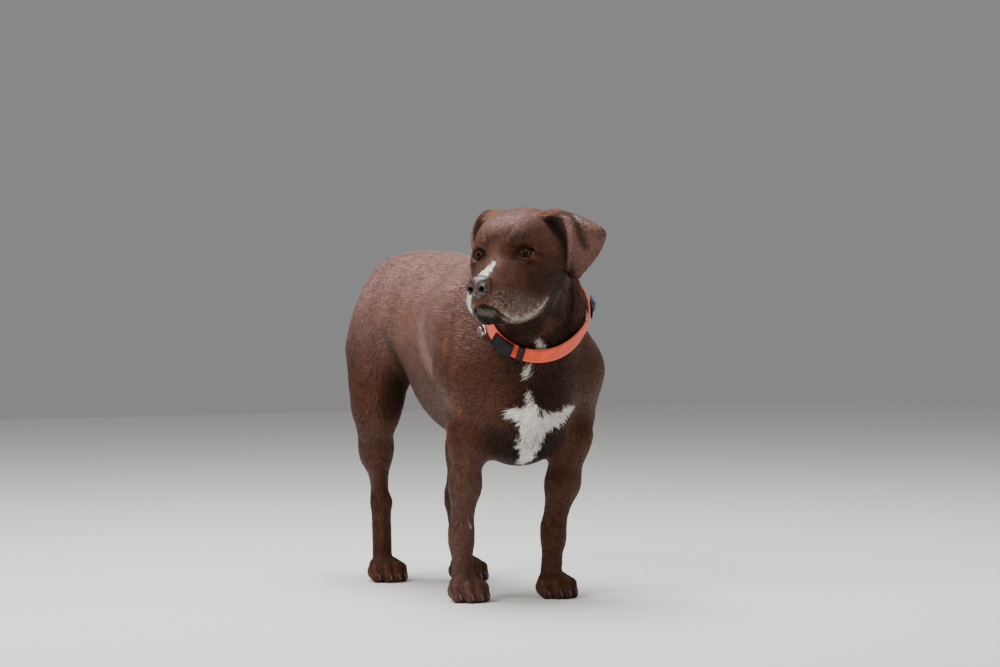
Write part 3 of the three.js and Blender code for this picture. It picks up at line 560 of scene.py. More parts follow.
def splitLong(points, triangles, target):
    # halves each edge that is longer than its target, and cuts the triangles beside it to fit
    edges = np.sort(np.stack([triangles, np.roll(triangles, -1, 1)], 2).reshape(-1, 2), 1)
    key, inverse = np.unique(edges[:, 0].astype(np.int64) * len(points) + edges[:, 1], return_inverse=True)
    a, b = key // len(points), key % len(points)
    middle = (points[a] + points[b]) / 2
    long = np.linalg.norm(points[a] - points[b], axis=1) > target(middle) * 1.4
    number = np.full(len(key), -1)
    number[long] = len(points) + np.arange(long.sum())
    points = np.concatenate([points, middle[long]])
    cut = number[inverse].reshape(-1, 3)
    count = (cut >= 0).sum(1)
    result = [triangles[count == 0]]
    for turn in range(3):
        t, c = np.roll(triangles, -turn, 1), np.roll(cut, -turn, 1)
        one = (count == 1) & (c[:, 0] >= 0)
        two = (count == 2) & (c[:, 2] < 0)
        result += [np.column_stack([t[one, 0], c[one, 0], t[one, 2]]),
                   np.column_stack([c[one, 0], t[one, 1], t[one, 2]]),
                   np.column_stack([c[two, 0], t[two, 1], c[two, 1]]),
                   np.column_stack([t[two, 0], c[two, 0], c[two, 1]]),
                   np.column_stack([t[two, 0], c[two, 1], t[two, 2]])]
    three = count == 3
    t, c = triangles[three], cut[three]
    result += [np.column_stack([t[:, 0], c[:, 0], c[:, 2]]),
               np.column_stack([c[:, 0], t[:, 1], c[:, 1]]),
               np.column_stack([c[:, 2], c[:, 1], t[:, 2]]), c]
    return points, np.concatenate(result)


skin = {
    "headStep": 0.0026,    # the grid's step above the collar
    "bodyStep": 0.0056,    # and below it
    "eyeEdge": 0.00132,    # the wanted edge length round the eyes
    "feetEdge": 0.0034,    # and on the feet
    "gap": 0.004,          # how far above and below the collar's middle the two meshes stop
}
collarCentre = np.array(body["collarCentre"])
collarUp = unit(body["collarUp"])


def meshTarget(p):
    # the wanted edge length: fine round the eyes, middling on the feet, as it is elsewhere
    atEye = np.linalg.norm(laidOver(toHead(p)) - eyeCentre, axis=1)
    size = np.full(len(p), 0.02)
    size = np.where(p[:, 2] < 0.05, skin["feetEdge"], size)
    return np.where(atEye < 0.022, skin["eyeEdge"], size)


def makeSkin():
    # the head from a fine grid and the rest from a coarser one, cut clean under the collar and zipped
    # together there, then made finer where it counts and drawn on to the field again
    print("skin: meshing the field")
    gap = skin["gap"]
    upper = surfaceNet((-0.215, -0.54, 0.39), (0.12, -0.2, 0.7), skin["headStep"], skinField)
    upper = keepAbove(*upper, collarCentre + collarUp * gap, collarUp)
    lower = surfaceNet((-0.19, -0.4, -0.02), (0.2, 0.38, 0.64), skin["bodyStep"], skinField)
    lower = keepAbove(*lower, collarCentre - collarUp * gap, -collarUp)
    points = np.concatenate([upper[0], lower[0]])
    high = (points - collarCentre) @ collarUp
    rings = [np.flatnonzero(np.abs(high - gap) < 1e-5), np.flatnonzero(np.abs(high + gap) < 1e-5)]
    rings = [rings[0][rings[0] < len(upper[0])], rings[1][rings[1] >= len(upper[0])]]
    seam = zipped(points, *rings, collarCentre, collarUp)
    triangles = np.concatenate([upper[1], lower[1] + len(upper[0]), seam])
    print("skin:", len(triangles), "triangles before the fine parts")
    for _ in range(2):
        points, triangles = splitLong(points, triangles, meshTarget)
        points = pullOn(skinField, points, 1)
    points = pullOn(skinField, points, 2)
    points[:, 2] = np.maximum(points[:, 2], 0.0)
    print("skin:", len(triangles), "triangles")
    return points, triangles


# The marks of the coat, with its painted highlights and painted shade, and the folds of the skin.

def linear(*colour):
    # a screen colour of 0 to 255 as light: ((c + 0.055) / 1.055) ^ 2.4
    c = np.asarray(colour, float) / 255
    return np.where(c < 0.04045, c / 12.92, ((c + 0.055) / 1.055) ** 2.4)


def waves(p, size, seed, count=12):
    # a soft field between about -1 and 1: sines of about a size, in directions drawn from a seed
    draw = np.random.default_rng(seed)
    ways = unit(draw.normal(size=(count, 3))) * (2 * math.pi / size) * draw.uniform(0.7, 1.5, (count, 1))
    return np.sin(p @ ways.T + draw.uniform(0, 6.28, count)).sum(1) / math.sqrt(count)


def lineDistance(p, a, b):
    # how far points are from the line a to b, and how far along it: t = (p - a) . line / |line|^2
    line = np.subtract(b, a)
    t = np.clip((p - a) @ line / (line @ line), 0, 1)
    return np.linalg.norm(p - a - t[:, None] * line, axis=1), t


def ease(x):
    # 0 to 1 with soft ends: 3 x^2 - 2 x^3
    x = np.clip(x, 0, 1)
    return x * x * (3 - 2 * x)


def brush(p, strokes):
    # the most that any stroke covers a point: whole out to its radius, easing away over its soft edge
    cover = np.zeros(len(p))
    for a, b, ra, rb, soft in strokes:
        d, t = lineDistance(p, a, b)
        cover = np.maximum(cover, ease(1 - (d - (ra + (rb - ra) * t)) / soft))
    return cover


marks = {
    "base": linear(77, 44, 29), "rust": linear(136, 78, 43), "dark": linear(29, 17, 12),
    # the first tone on the next line, a greyish pink, is a painted highlight: the sky's sheen on the glossy
    # coat
    "paintedSheen": linear(156, 120, 113), "white": linear(226, 222, 214), "grey": linear(150, 136, 128),
    # the first tone on this line is the near black of the lid and mouth rims, used too for painted shadows
    "rim": linear(14, 9, 7), "lip": linear(27, 24, 18), "pink": linear(96, 66, 58), "pad": linear(46, 38, 36),
    # white, in the dog's own frame: x, z seen from the front
    "star": [((-0.011, 0.355), (-0.006, 0.322), 0.0015, 0.013),
             ((-0.036, 0.324), (-0.012, 0.315), 0.0085, 0.015),
             ((0.08, 0.331), (0.047, 0.315), 0.004, 0.0125),
             ((0.047, 0.315), (0.015, 0.306), 0.0125, 0.018),
             ((0.002, 0.302), (0.0, 0.272), 0.021, 0.0195),
             ((0.0, 0.272), (0.007, 0.244), 0.0195, 0.012)],
    "throat": [((-0.012, -0.36, 0.447), (-0.002, -0.355, 0.43), 0.002, 0.0055, 0.005),
               ((-0.018, -0.338, 0.401), (-0.018, -0.334, 0.385), 0.0025, 0.0008, 0.006)],
    # white, in the head's frame
    "blaze": [((0.042, 0.008, 0.002), (0.062, 0.002, -0.012), 0.0008, 0.005, 0.0025),
              ((0.062, 0.002, -0.012), (0.088, -0.006, -0.018), 0.005, 0.013, 0.004),
              ((0.082, -0.02, -0.028), (0.088, -0.032, -0.058), 0.01, 0.006, 0.006),
              ((0.088, -0.032, -0.058), (0.085, -0.031, -0.073), 0.006, 0.004, 0.006)],
    "flew": [((0.086, 0.026, -0.06), (0.056, 0.036, -0.07), 0.006, 0.008, 0.022),
             ((0.07, 0.034, -0.088), (0.02, 0.044, -0.098), 0.01, 0.01, 0.026),
             ((0.02, 0.044, -0.098), (-0.014, 0.052, -0.09), 0.009, 0.003, 0.016)],
    "lipEdge": [((0.083, 0.029, -0.081), (0.066, 0.033, -0.093), 0.002, 0.003, 0.008),
                ((0.066, 0.033, -0.093), (0.042, 0.037, -0.104), 0.003, 0.005, 0.009),
                ((0.042, 0.037, -0.104), (0.0, 0.048, -0.098), 0.005, 0.003, 0.009),
                ((0.0, 0.048, -0.098), (-0.02, 0.056, -0.085), 0.003, 0.002, 0.007)],
    "mouth": [((0.097, 0, -0.063), (0.093, 0.014, -0.0695), 0.0018, 0.0022, 0.0022),
              ((0.093, 0.014, -0.0695), (0.085, 0.0235, -0.081), 0.0022, 0.0018, 0.0022),
              ((0.085, 0.0235, -0.081), (0.062, 0.031, -0.099), 0.0018, 0.001, 0.0022)],
    "chin": [((0.09, 0, -0.08), (0.078, 0.002, -0.088), 0.0165, 0.0185, 0.003),
             ((0.078, 0, -0.092), (0.05, 0, -0.112), 0.018, 0.018, 0.006)],
    # darker brow hairs, with painted shade in the brow furrows
    "browHairAndShade": [((0.022, -0.022, 0.018), (0.02, -0.01, 0.029), 0.003, 0.004, 0.007),
             ((0.02, -0.01, 0.029), (0.016, 0.006, 0.037), 0.004, 0.0035, 0.008),
             ((0.016, 0.006, 0.037), (0.009, 0.019, 0.042), 0.0035, 0.001, 0.008),
             ((0.022, 0.022, 0.017), (0.016, 0.029, 0.026), 0.0025, 0.004, 0.006),
             ((0.016, 0.029, 0.026), (0.008, 0.038, 0.029), 0.004, 0.003, 0.007),
             ((0.008, 0.038, 0.029), (-0.002, 0.049, 0.027), 0.003, 0.001, 0.007)],
    "eyeDark": [((0.024, 0.028, -0.003), (0.008, 0.04, 0.012), 0.001, 0.003, 0.005),
                ((0.008, 0.04, 0.012), (-0.014, 0.056, 0.004), 0.003, 0.001, 0.006),
                ((0.003, 0.056, 0.001), (-0.008, 0.066, -0.007), 0.0014, 0.0006, 0.003),
                ((0.012, 0.05, -0.013), (0.001, 0.058, -0.017), 0.001, 0.001, 0.006)],
    # painted shade on the cheeks, and under the ear
    "cheek": [((0.012, 0.044, -0.026), (0.0, 0.058, -0.05), 0.004, 0.014, 0.02),
              ((0.0, 0.058, -0.05), (-0.03, 0.074, -0.056), 0.014, 0.012, 0.024),
              ((-0.078, 0.08, -0.05), (-0.047, 0.07, -0.067), 0.004, 0.01, 0.014)],
    # painted shadow of the ear where the cheek meets the neck
    "band": [((-0.082, 0.08, -0.055), (-0.05, 0.07, -0.07), 0.006, 0.01, 0.016),
             ((-0.05, 0.07, -0.07), (-0.031, 0.053, -0.097), 0.01, 0.01, 0.016)],
    # painted shade in the crease behind the jaw and down the neck
    "neckCreaseShade": [((0.044, -0.378, 0.55), (0.049, -0.369, 0.527), 0.004, 0.006, 0.007),
                 ((0.049, -0.369, 0.527), (0.047, -0.368, 0.495), 0.006, 0.006, 0.009),
                 ((0.047, -0.368, 0.495), (0.043, -0.364, 0.474), 0.006, 0.003, 0.01),
                 ((0.043, -0.364, 0.474), (0.054, -0.351, 0.451), 0.003, 0.002, 0.01),
                 ((0.02, -0.4, 0.53), (0.01, -0.385, 0.49), 0.004, 0.006, 0.016)],
    # painted shadow under the jaw
    "jawShadow": [((-0.055, -0.351, 0.466), (-0.034, -0.374, 0.466), 0.014, 0.016, 0.014),
                   ((-0.034, -0.374, 0.466), (-0.016, -0.405, 0.492), 0.016, 0.012, 0.014)],
    "streak": [((-0.088, -0.222, 0.49), (-0.116, -0.257, 0.428), 0.001, 0.003, 0.008),
               ((-0.116, -0.257, 0.428), (-0.122, -0.262, 0.35), 0.003, 0.001, 0.009),
               ((-0.1, -0.2, 0.49), (-0.128, -0.243, 0.415), 0.001, 0.003, 0.009),
               ((-0.105, -0.17, 0.48), (-0.128, -0.205, 0.4), 0.001, 0.003, 0.01)],
    # painted shade in the folds between the upper arm and the ribs, beside the rust streaks
    "between": [((-0.09, -0.2, 0.5), (-0.122, -0.25, 0.425), 0.001, 0.002, 0.006),
                ((-0.122, -0.25, 0.425), (-0.127, -0.25, 0.34), 0.002, 0.002, 0.01),
                ((-0.105, -0.18, 0.47), (-0.13, -0.215, 0.38), 0.001, 0.004, 0.011)],
    "earShade": [((-0.066, 0.066, 0.036), (-0.07, 0.078, 0.0), 0.009, 0.006, 0.012),
                 ((-0.07, 0.078, 0.0), (-0.072, 0.08, -0.05), 0.006, 0.002, 0.01)],
    # painted shade in the crease of each ear
    "earCreaseShade": [((-0.094, 0.09, 0.045), (-0.079, 0.104, 0.026), 0.001, 0.003, 0.006),
                  ((-0.079, 0.104, 0.026), (-0.076, 0.108, 0.01), 0.003, 0.003, 0.008),
                  ((-0.076, 0.108, 0.01), (-0.078, 0.113, -0.01), 0.003, 0.001, 0.01)],
    # a painted highlight along the front ridge of each ear
    "earRidgeHighlight": [((-0.078, 0.078, 0.046), (-0.07, 0.091, 0.025), 0.002, 0.003, 0.004),
                ((-0.07, 0.091, 0.025), (-0.067, 0.091, 0.0), 0.003, 0.002, 0.004),
                ((-0.067, 0.091, 0.0), (-0.065, 0.082, -0.045), 0.002, 0.001, 0.0035)],
    "grizzle": [((0.046, 0.006, -0.006), (0.018, 0.012, 0.012), 0.006, 0.012, 0.014),
                ((0.03, 0.03, -0.016), (0.022, 0.038, -0.03), 0.004, 0.008, 0.014)],
    "earBase": [((-0.07, 0.04, 0.062), (-0.108, 0.05, 0.062), 0.006, 0.008, 0.022)],
}


def saltOf(p):
    # the share of pale hairs among the brown ones: on the lips, between the eyes and under them
    q = toHead(p)
    mirrored = laidOver(q)
    patch = 0.75 + 0.25 * waves(q, 0.012, 33)
    salt = np.maximum(0.4 * brush(mirrored, marks["flew"]), 0.95 * brush(mirrored, marks["lipEdge"]))
    salt = np.maximum(salt, 0.05 * brush(mirrored, marks["grizzle"])) * patch
    return np.clip(salt * (1 - 0.6 * brush(mirrored, marks["chin"])), 0, 1)


def coatTone(p, fine=1.0):
    # the coat's colour at points in the dog's own frame, painted highlights and painted shade included
    q = toHead(p)
    mirrored = laidOver(q)
    onHead = ease(1 - (np.linalg.norm(q - [0, 0, -0.03], axis=1) - 0.13) / 0.03)
    onEar = ease(1 - (np.linalg.norm(mirrored - [-0.085, 0.105, 0.0], axis=1) - 0.055) / 0.02)
    onHead = np.maximum(onHead, onEar)
    offHead = 1 - onHead
    sided = np.column_stack([np.abs(p[:, 0] - chest * 0.5), p[:, 1:]])
    tone = np.tile(marks["base"], (len(p), 1))

    def mix(colour, cover):
        # the tone moved towards a colour by a share: tone + (colour - tone) cover
        tone[:] += (marks[colour] - tone) * np.clip(cover, 0, 1)[:, None]

    z = p[:, 2]
    ragged = waves(p, 0.02, 41) * 0.0025 + waves(p, 0.007, 42) * 0.0022
    # painted sheen: the top of the body, from behind the shoulders back, lighter as if lit from above
    mix("paintedSheen", 0.76 * ease((z - 0.36) / 0.19) * ease((p[:, 1] + 0.26) / 0.14) * offHead)
    lock = 0.55 + 0.45 * waves(p * [1, 0.7, 0.35], 0.03, 43)
    mix("rust", 0.42 * lock * brush(sided + ragged[:, None], [
        ((0.118, -0.235, 0.42), (0.112, -0.232, 0.32), 0.001, 0.001, 0.022),
        ((0.108, -0.19, 0.29), (0.09, -0.19, 0.18), 0.004, 0.004, 0.03),
        ((0.1, 0.24, 0.47), (0.09, 0.21, 0.3), 0.004, 0.004, 0.05),
        ((0.12, -0.1, 0.46), (0.115, 0.05, 0.46), 0.01, 0.01, 0.08)]) * offHead)
    # painted highlight: a pale streak down each side just behind the shoulder
    mix("paintedSheen", 0.5 * brush(sided + ragged[:, None], [
        ((0.105, -0.09, 0.47), (0.12, -0.13, 0.41), 0.003, 0.008, 0.02),
        ((0.12, -0.13, 0.41), (0.12, -0.17, 0.37), 0.008, 0.003, 0.02)]))
    mix("rust", 0.3 * (0.3 + 0.7 * lock) * brush(p + ragged[:, None] * 2, marks["streak"]) * offHead)
    # painted shade in the folds between the upper arm and the ribs, beside the rust streaks
    mix("dark", 0.45 * brush(p + ragged[:, None] * 2, marks["between"]) * offHead)
    # painted shade in the crease between the flank and the thigh
    mix("dark", 0.6 * brush(sided, [((0.1, 0.078, 0.45), (0.09, 0.06, 0.39), 0.001, 0.008, 0.022),
                                    ((0.09, 0.06, 0.39), (0.08, 0.1, 0.32), 0.01, 0.016, 0.026)]))
    # painted shade: the legs darker towards the feet
    mix("dark", 0.3 * ease((0.3 - z) / 0.16))
    # painted highlight on the lower part of the dog's right foreleg
    mix("paintedSheen", 0.09 * ease((0.3 - z) / 0.1) * ease((-0.19 - p[:, 1]) / 0.02) * ease((0.0 - p[:, 0]) / 0.03))
    # painted shade across the bottom of the chest, under the white star
    mix("dark", 0.8 * brush(p, [((-0.05, -0.275, 0.268), (0.05, -0.292, 0.258), 0.014, 0.014, 0.034)]))
    # painted shade on the throat below the head
    throat = lineDistance(p, (-0.01, -0.36, 0.46), (0.015, -0.3, 0.39))[0]
    mix("dark", 0.7 * ease(1 - (throat - 0.03) / 0.06) * offHead)
    # painted shade down the lower chest
    brisket = lineDistance(p, (0.012, -0.34, 0.33), (0.012, -0.26, 0.24))[0]
    mix("dark", 0.7 * ease(1 - (brisket - 0.03) / 0.05))
    # painted shade along the underside of the belly
    mix("dark", 0.7 * brush(sided, [((0.02, -0.1, 0.27), (0.02, 0.12, 0.38), 0.03, 0.03, 0.06)]))
    # painted shade in the crease behind the jaw and down the neck
    mix("rim", 0.75 * brush(p + ragged[:, None], marks["neckCreaseShade"]))
    # painted shade on the front of the neck just above the collar, under the head
    high = (p - collarCentre) @ collarUp
    mix("dark", 0.6 * ease(high / 0.02) * ease((-0.27 - p[:, 1]) / 0.04)
        * ease((0.07 - p[:, 0]) / 0.03) * offHead)
    # painted sheen on the outer parts of the ears
    mix("paintedSheen", 0.24 * onEar * ease((mirrored[:, 1] - 0.08) / 0.012))
    # painted shadow of the ear where the cheek meets the neck
    mix("rim", 0.7 * brush(mirrored, marks["band"]))
    mix("dark", 0.75 * brush(mirrored, marks["earShade"]))
    # painted shade in the ears' crease
    mix("dark", 0.68 * brush(mirrored, marks["earCreaseShade"]))
    # painted highlight along the ears' front ridge
    mix("paintedSheen", 0.4 * brush(mirrored, marks["earRidgeHighlight"]))
    # painted shadow under the jaw
    mix("rim", 0.7 * brush(p, marks["jawShadow"]))
    # the head: painted shade low on the head and on the cheeks, dark brow hairs with painted shade in their
    # furrows, and dark round the eyes
    mix("dark", 0.2 * onHead * ease((0.02 - q[:, 0]) / 0.03) * ease((0.0 - q[:, 2]) / 0.03))
    mix("dark", 0.55 * brush(mirrored + ragged[:, None], marks["cheek"]))
    # darker brow hairs, with painted shade in the brow furrows
    mix("dark", 0.55 * brush(q + ragged[:, None] * 0.4, marks["browHairAndShade"]))
    mix("dark", 0.75 * brush(mirrored, marks["eyeDark"]))
    # painted highlight on the top of the skull
    mix("paintedSheen", 0.42 * onHead * ease((q[:, 2] - 0.03) / 0.03) * ease(1 - (np.abs(q[:, 1]) - 0.035) / 0.03))
    salt = saltOf(p)
    speck = waves(q, 0.0062, 31) * 0.5 + waves(q, 0.003, 32) * 0.5
    mix("grey", salt * (0.6 + 0.45 * speck))
    mix("rust", 0.6 * brush(mirrored, marks["earBase"]))
    mix("white", ease(0.5 + (brush(q + ragged[:, None] * 0.6, marks["blaze"]) - 0.5) * 1.6))
    mix("lip", brush(mirrored + ragged[:, None] * 0.5, marks["chin"]) * 0.94)
    # pale hairs and a painted highlight across the front of the chin
    mix("grey", (0.3 + 0.2 * speck)
        * brush(q, [((0.0915, -0.014, -0.076), (0.09, 0.012, -0.08), 0.002, 0.003, 0.007)]))
    # rows of dark dots where the whiskers grow
    along, low = mirrored[:, 0] - 0.086, mirrored[:, 2] + 0.047
    for row in range(4):
        for n in range(4):
            spot = np.hypot(along + 0.0085 * n + 0.003 * (row % 2), low + 0.0068 * row + 0.001 * n)
            mix("dark", 0.9 * ease(1.6 - spot / 0.0017) * (mirrored[:, 1] > 0.018) * onHead)
    mix("rim", brush(mirrored, marks["mouth"]))
    front = np.column_stack([p[:, 0], p[:, 2]])
    star = np.full(len(p), 1.0)
    for a, b, ra, rb in marks["star"]:
        d, t = lineDistance(front, a, b)
        star = np.minimum(star, d - (ra + (rb - ra) * t))
    star = ease(0.5 - (star + ragged) / 0.003) * ease((-0.2 - p[:, 1]) / 0.02)
    mix("white", star)
    mix("white", 0.75 * brush(p + ragged[:, None] * 0.5, marks["throat"]))
    mix("white", 0.35 * brush(p, [((-0.08, -0.232, 0.142), (-0.077, -0.23, 0.128), 0.001, 0.001, 0.0025)]))
    # locks: soft streaks along the lie, fine on the head and broader on the body
    locks = waves(p * [1, 0.45, 0.6], 0.012, 53) * offHead + 1.3 * waves(q * [0.5, 1, 1], 0.0075, 54) * onHead
    fineLocks = (waves(p * [1, 0.4, 0.5], 0.005, 55) * offHead
                 + 1.3 * waves(q * [0.5, 1, 1], 0.0036, 56) * onHead)
    shade = 0.1 * waves(p, 0.07, 51) + 0.05 * waves(p, 0.022, 52) + 0.09 * locks + 0.08 * fineLocks
    tone *= (1 + fine * np.clip(shade, -0.45, 0.45))[:, None]
    return np.clip(tone, 0.002, 0.95)


# Folds, as lines with a depth and a width: in the head's frame, with the left side standing for both.
headFolds = [
    ([(0.1, 0, -0.048), (0.097, 0, -0.063)], 0.0014, 0.0016),
    ([(0.097, 0, -0.063), (0.093, 0.014, -0.0695), (0.085, 0.0235, -0.081), (0.062, 0.031, -0.099),
      (0.04, 0.034, -0.109)], 0.0034, 0.0024),
    ([(0.008, 0.042, -0.108), (-0.016, 0.05, -0.098), (-0.034, 0.054, -0.082)], 0.0022, 0.003),
    ([(0.034, 0, -0.004), (0.014, 0, 0.022), (-0.02, 0, 0.052)], 0.0012, 0.005),
    ([(0.022, 0.03, 0.008), (0.014, 0.04, 0.017), (0.0, 0.052, 0.019)], 0.0014, 0.0026),
    ([(0.026, 0.014, 0.014), (0.016, 0.02, 0.03), (0.0, 0.026, 0.044)], 0.0015, 0.0035),
    ([(0.014, 0.026, 0.022), (0.004, 0.036, 0.031), (-0.01, 0.044, 0.032)], 0.0013, 0.003),
    ([(-0.094, 0.09, 0.045), (-0.079, 0.104, 0.026), (-0.076, 0.108, 0.01), (-0.078, 0.113, -0.01)],
     0.0028, 0.005),
    ([(0.02, 0.036, -0.016), (0.01, 0.05, -0.024), (0.0, 0.058, -0.024)], 0.0009, 0.003),
    ([(0.03, 0.03, -0.02), (0.016, 0.046, -0.036), (0.0, 0.056, -0.062)], 0.0014, 0.007),
    ([(0.022, 0.03, -0.008), (0.01, 0.046, -0.013), (-0.008, 0.058, -0.008)], 0.0009, 0.0024),
    ([(0.034, 0.026, -0.012), (0.05, 0.032, -0.032), (0.056, 0.036, -0.05)], 0.0009, 0.007),
    ([(-0.05, 0.05, 0.048), (-0.054, 0.07, 0.034), (-0.058, 0.076, 0.01)], 0.0016, 0.005),
]
# The same in the dog's own frame, mirrored about the middle of its chest.
bodyFolds = [
    ([(0.046, -0.356, 0.55), (0.05, -0.354, 0.5), (0.044, -0.358, 0.452)], 0.004, 0.007),
    ([(0.02, -0.375, 0.49), (0.03, -0.37, 0.46), (0.034, -0.362, 0.435)], 0.0022, 0.006),
    ([(0.088, -0.15, 0.55), (0.124, -0.155, 0.45), (0.135, -0.165, 0.36)], 0.0016, 0.02),
    ([(0.132, -0.16, 0.345), (0.12, -0.235, 0.3)], 0.0028, 0.012),
    ([(0.1, 0.035, 0.5), (0.105, 0.06, 0.42), (0.095, 0.07, 0.34)], 0.0045, 0.018),
    ([(0.118, 0.165, 0.47), (0.112, 0.17, 0.36), (0.09, 0.17, 0.29)], 0.003, 0.014),
    ([(0.088, -0.25, 0.26), (0.088, -0.236, 0.16)], 0.0012, 0.007),
    ([(0.0, -0.355, 0.37), (0.0, -0.33, 0.3), (0.0, -0.3, 0.25)], 0.0035, 0.016),
    ([(0.055, -0.35, 0.39), (0.08, -0.31, 0.33)], 0.0025, 0.014),
]


def foldDepth(p):
    # how deep the folds press in: the deepest of depth * exp(-(distance / width)^2)
    depth = np.zeros(len(p))
    q = laidOver(toHead(p))
    r = p.copy()
    r[:, 0] = np.abs(r[:, 0] - chest * ease((0.1 - p[:, 1]) / 0.3))
    for where, folds in ((q, headFolds), (r, bodyFolds)):
        for points, deep, width in folds:
            points = np.array(points)
            for a, b in zip(points[:-1], points[1:]):
                ball = np.linalg.norm(b - a) / 2 + width * 3
                near = np.flatnonzero(np.linalg.norm(where - (a + b) / 2, axis=1) < ball)
                d = lineDistance(where[near], a, b)[0]
                depth[near] = np.maximum(depth[near], deep * np.exp(-(d / width) ** 2))
    return depth + 0.0026 * brush(q, marks["chin"])


def facing(points, triangles):
    # the way out at each vertex: the sum of its faces' area vectors
    a, b, c = (points[triangles[:, n]] for n in range(3))
    area = np.cross(b - a, c - a)
    out = np.zeros((len(points), 3))
    for n in range(3):
        for axis in range(3):
            out[:, axis] += np.bincount(triangles[:, n], area[:, axis], len(points))
    return unit(out)


def folded(points, triangles):
    # the skin with its folds: each point pressed in by their depth
    return points - facing(points, triangles) * foldDepth(points)[:, None]


# The lie of the coat, and the pieces with what they carry.

def lieOf(p, n):
    # the way the hairs point: away from the nose on the head, root to tip on the ears, back along the trunk,
    # down the legs and along the tail, each counting for more the nearer its forms are
    q = toHead(p)
    head = unit(q - [0.1, 0, -0.028]) + np.array([0, 0, -0.12])
    head[:, 2] += 0.5 * ease((q[:, 0] - 0.0) / 0.03) * ease((q[:, 2] + 0.02) / 0.02) * 0.3
    ways = [(headField(q), head @ headAxes.T),
            (joined(neckForms, p), np.tile(unit([0.05, 0.75, -0.75]), (len(p), 1))),
            (joined(trunkForms, p), np.tile(unit([0, 1, -0.32]), (len(p), 1))),
            (joined(tailForms, p) - 0.004, np.tile(unit([0, 0.35, -1]), (len(p), 1)))]
    legs = np.min([joined(forms, p) for forms in legForms], axis=0)
    ways.append((legs, np.tile(unit([0, 0.18, -1]), (len(p), 1))))
    front = ease((-0.29 - p[:, 1]) / 0.05)[:, None]
    spread = np.column_stack([p[:, 0] - 0.004, np.full(len(p), 0.02),
                              np.minimum((p[:, 2] - 0.318) * 0.8 - 0.018, -0.012)])
    ways[2][1][:] = ways[2][1] * (1 - front) + unit(spread) * front
    near = np.min([w[0] for w in ways], axis=0)
    total = sum(np.exp(-(d - near) / 0.016)[:, None] * unit(way) for d, way in ways)
    for side in (1, -1):
        close = nearEar(side, q, 0.1)
        if len(close):
            u, v, away = earNearest(side, q[close])
            down = earSheet(side, u, np.minimum(v + 0.02, 1)) - earSheet(side, u, np.maximum(v - 0.02, 0))
            on = ease(1 - (away - 0.004) / 0.006)[:, None]
            total[close] = total[close] * (1 - on) + unit(down @ headAxes.T) * on * 2
    total -= n * (total * n).sum(1)[:, None]
    return unit(total)


def newPiece(name, points, triangles, material, replaces=(), smooth=True):
    # a mesh object in the frame, riding on the one body
    mesh = bpy.data.meshes.new(name)
    fillMesh(mesh, np.asarray(points) + place, np.asarray(triangles))
    mesh.polygons.foreach_set("use_smooth", np.full(len(mesh.polygons), smooth))
    mesh.materials.append(material)
    piece = bpy.data.objects.new(name, mesh)
    bpy.context.scene.collection.objects.link(piece)
    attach(piece, "root")
    if replaces:
        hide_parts(*replaces)
    return piece


def addTone(piece, tone, name="tone"):
    # a colour for each vertex, kept in the mesh
    layer = piece.data.color_attributes.new(name, "FLOAT_COLOR", "POINT")
    layer.data.foreach_set("color", np.column_stack([tone, np.ones(len(tone))]).astype(np.float32).ravel())


def addWeight(piece, name, values):
    # a number for each vertex, kept in the mesh
    layer = piece.data.attributes.new(name, "FLOAT", "POINT")
    layer.data.foreach_set("value", np.asarray(values, np.float32))


# The materials.

def newMaterial(name):
    # an empty node tree with its shader, and short ways to add and link nodes
    material = bpy.data.materials.new(name)
    material.use_nodes = True
    tree = material.node_tree
    shader = tree.nodes["Principled BSDF"]

    def add(kind, **values):
        # a node of a kind, with values for its sockets or its settings
        node = tree.nodes.new("ShaderNode" + kind)
        for key, value in values.items():
            if key in node.inputs:
                node.inputs[key].default_value = value
            else:
                setattr(node, key, value)
        return node

    def link(out, into):
        # a wire from one socket to another
        tree.links.new(out, into)
    return material, shader, add, link


def ramp(add, link, value, stops):
    # a colour ramp from (place, colour) pairs
    node = add("ValToRGB")
    while len(node.color_ramp.elements) < len(stops):
        node.color_ramp.elements.new(0.5)
    for element, (spot, colour) in zip(node.color_ramp.elements, stops):
        element.position = spot
        element.color = (*colour[:3], 1)
    link(value, node.inputs["Fac"])
    return node.outputs["Color"]


def noiseAt(add, link, scale, stretch=(1, 1, 1), turn=(0, 0, 0), detail=4, source=None):
    # noise in object space, turned and then stretched
    if source is None:
        source = add("TexCoord").outputs["Object"]
    mapping = add("Mapping", vector_type="TEXTURE")
    mapping.inputs["Rotation"].default_value = turn
    mapping.inputs["Scale"].default_value = stretch
    link(source, mapping.inputs["Vector"])
    noise = add("TexNoise", Scale=scale, Detail=detail, Roughness=0.6)
    link(mapping.outputs["Vector"], noise.inputs["Vector"])
    return noise.outputs["Fac"]


def ranged(add, link, value, low, high, start=0.0, end=1.0):
    # a value moved to another range and held in it: low + (high - low) (value - start) / (end - start)
    node = add("MapRange")
    for name, number in (("From Min", start), ("From Max", end), ("To Min", low), ("To Max", high)):
        node.inputs[name].default_value = number
    link(value, node.inputs["Value"])
    return node.outputs["Result"]


def bumpFrom(add, link, shader, height, strength, distance):
    # small relief from a height, in metres, on the shader's normal
    bump = add("Bump", Strength=strength, Distance=distance)
    link(height, bump.inputs["Height"])
    link(bump.outputs["Normal"], shader.inputs["Normal"])
    return bump


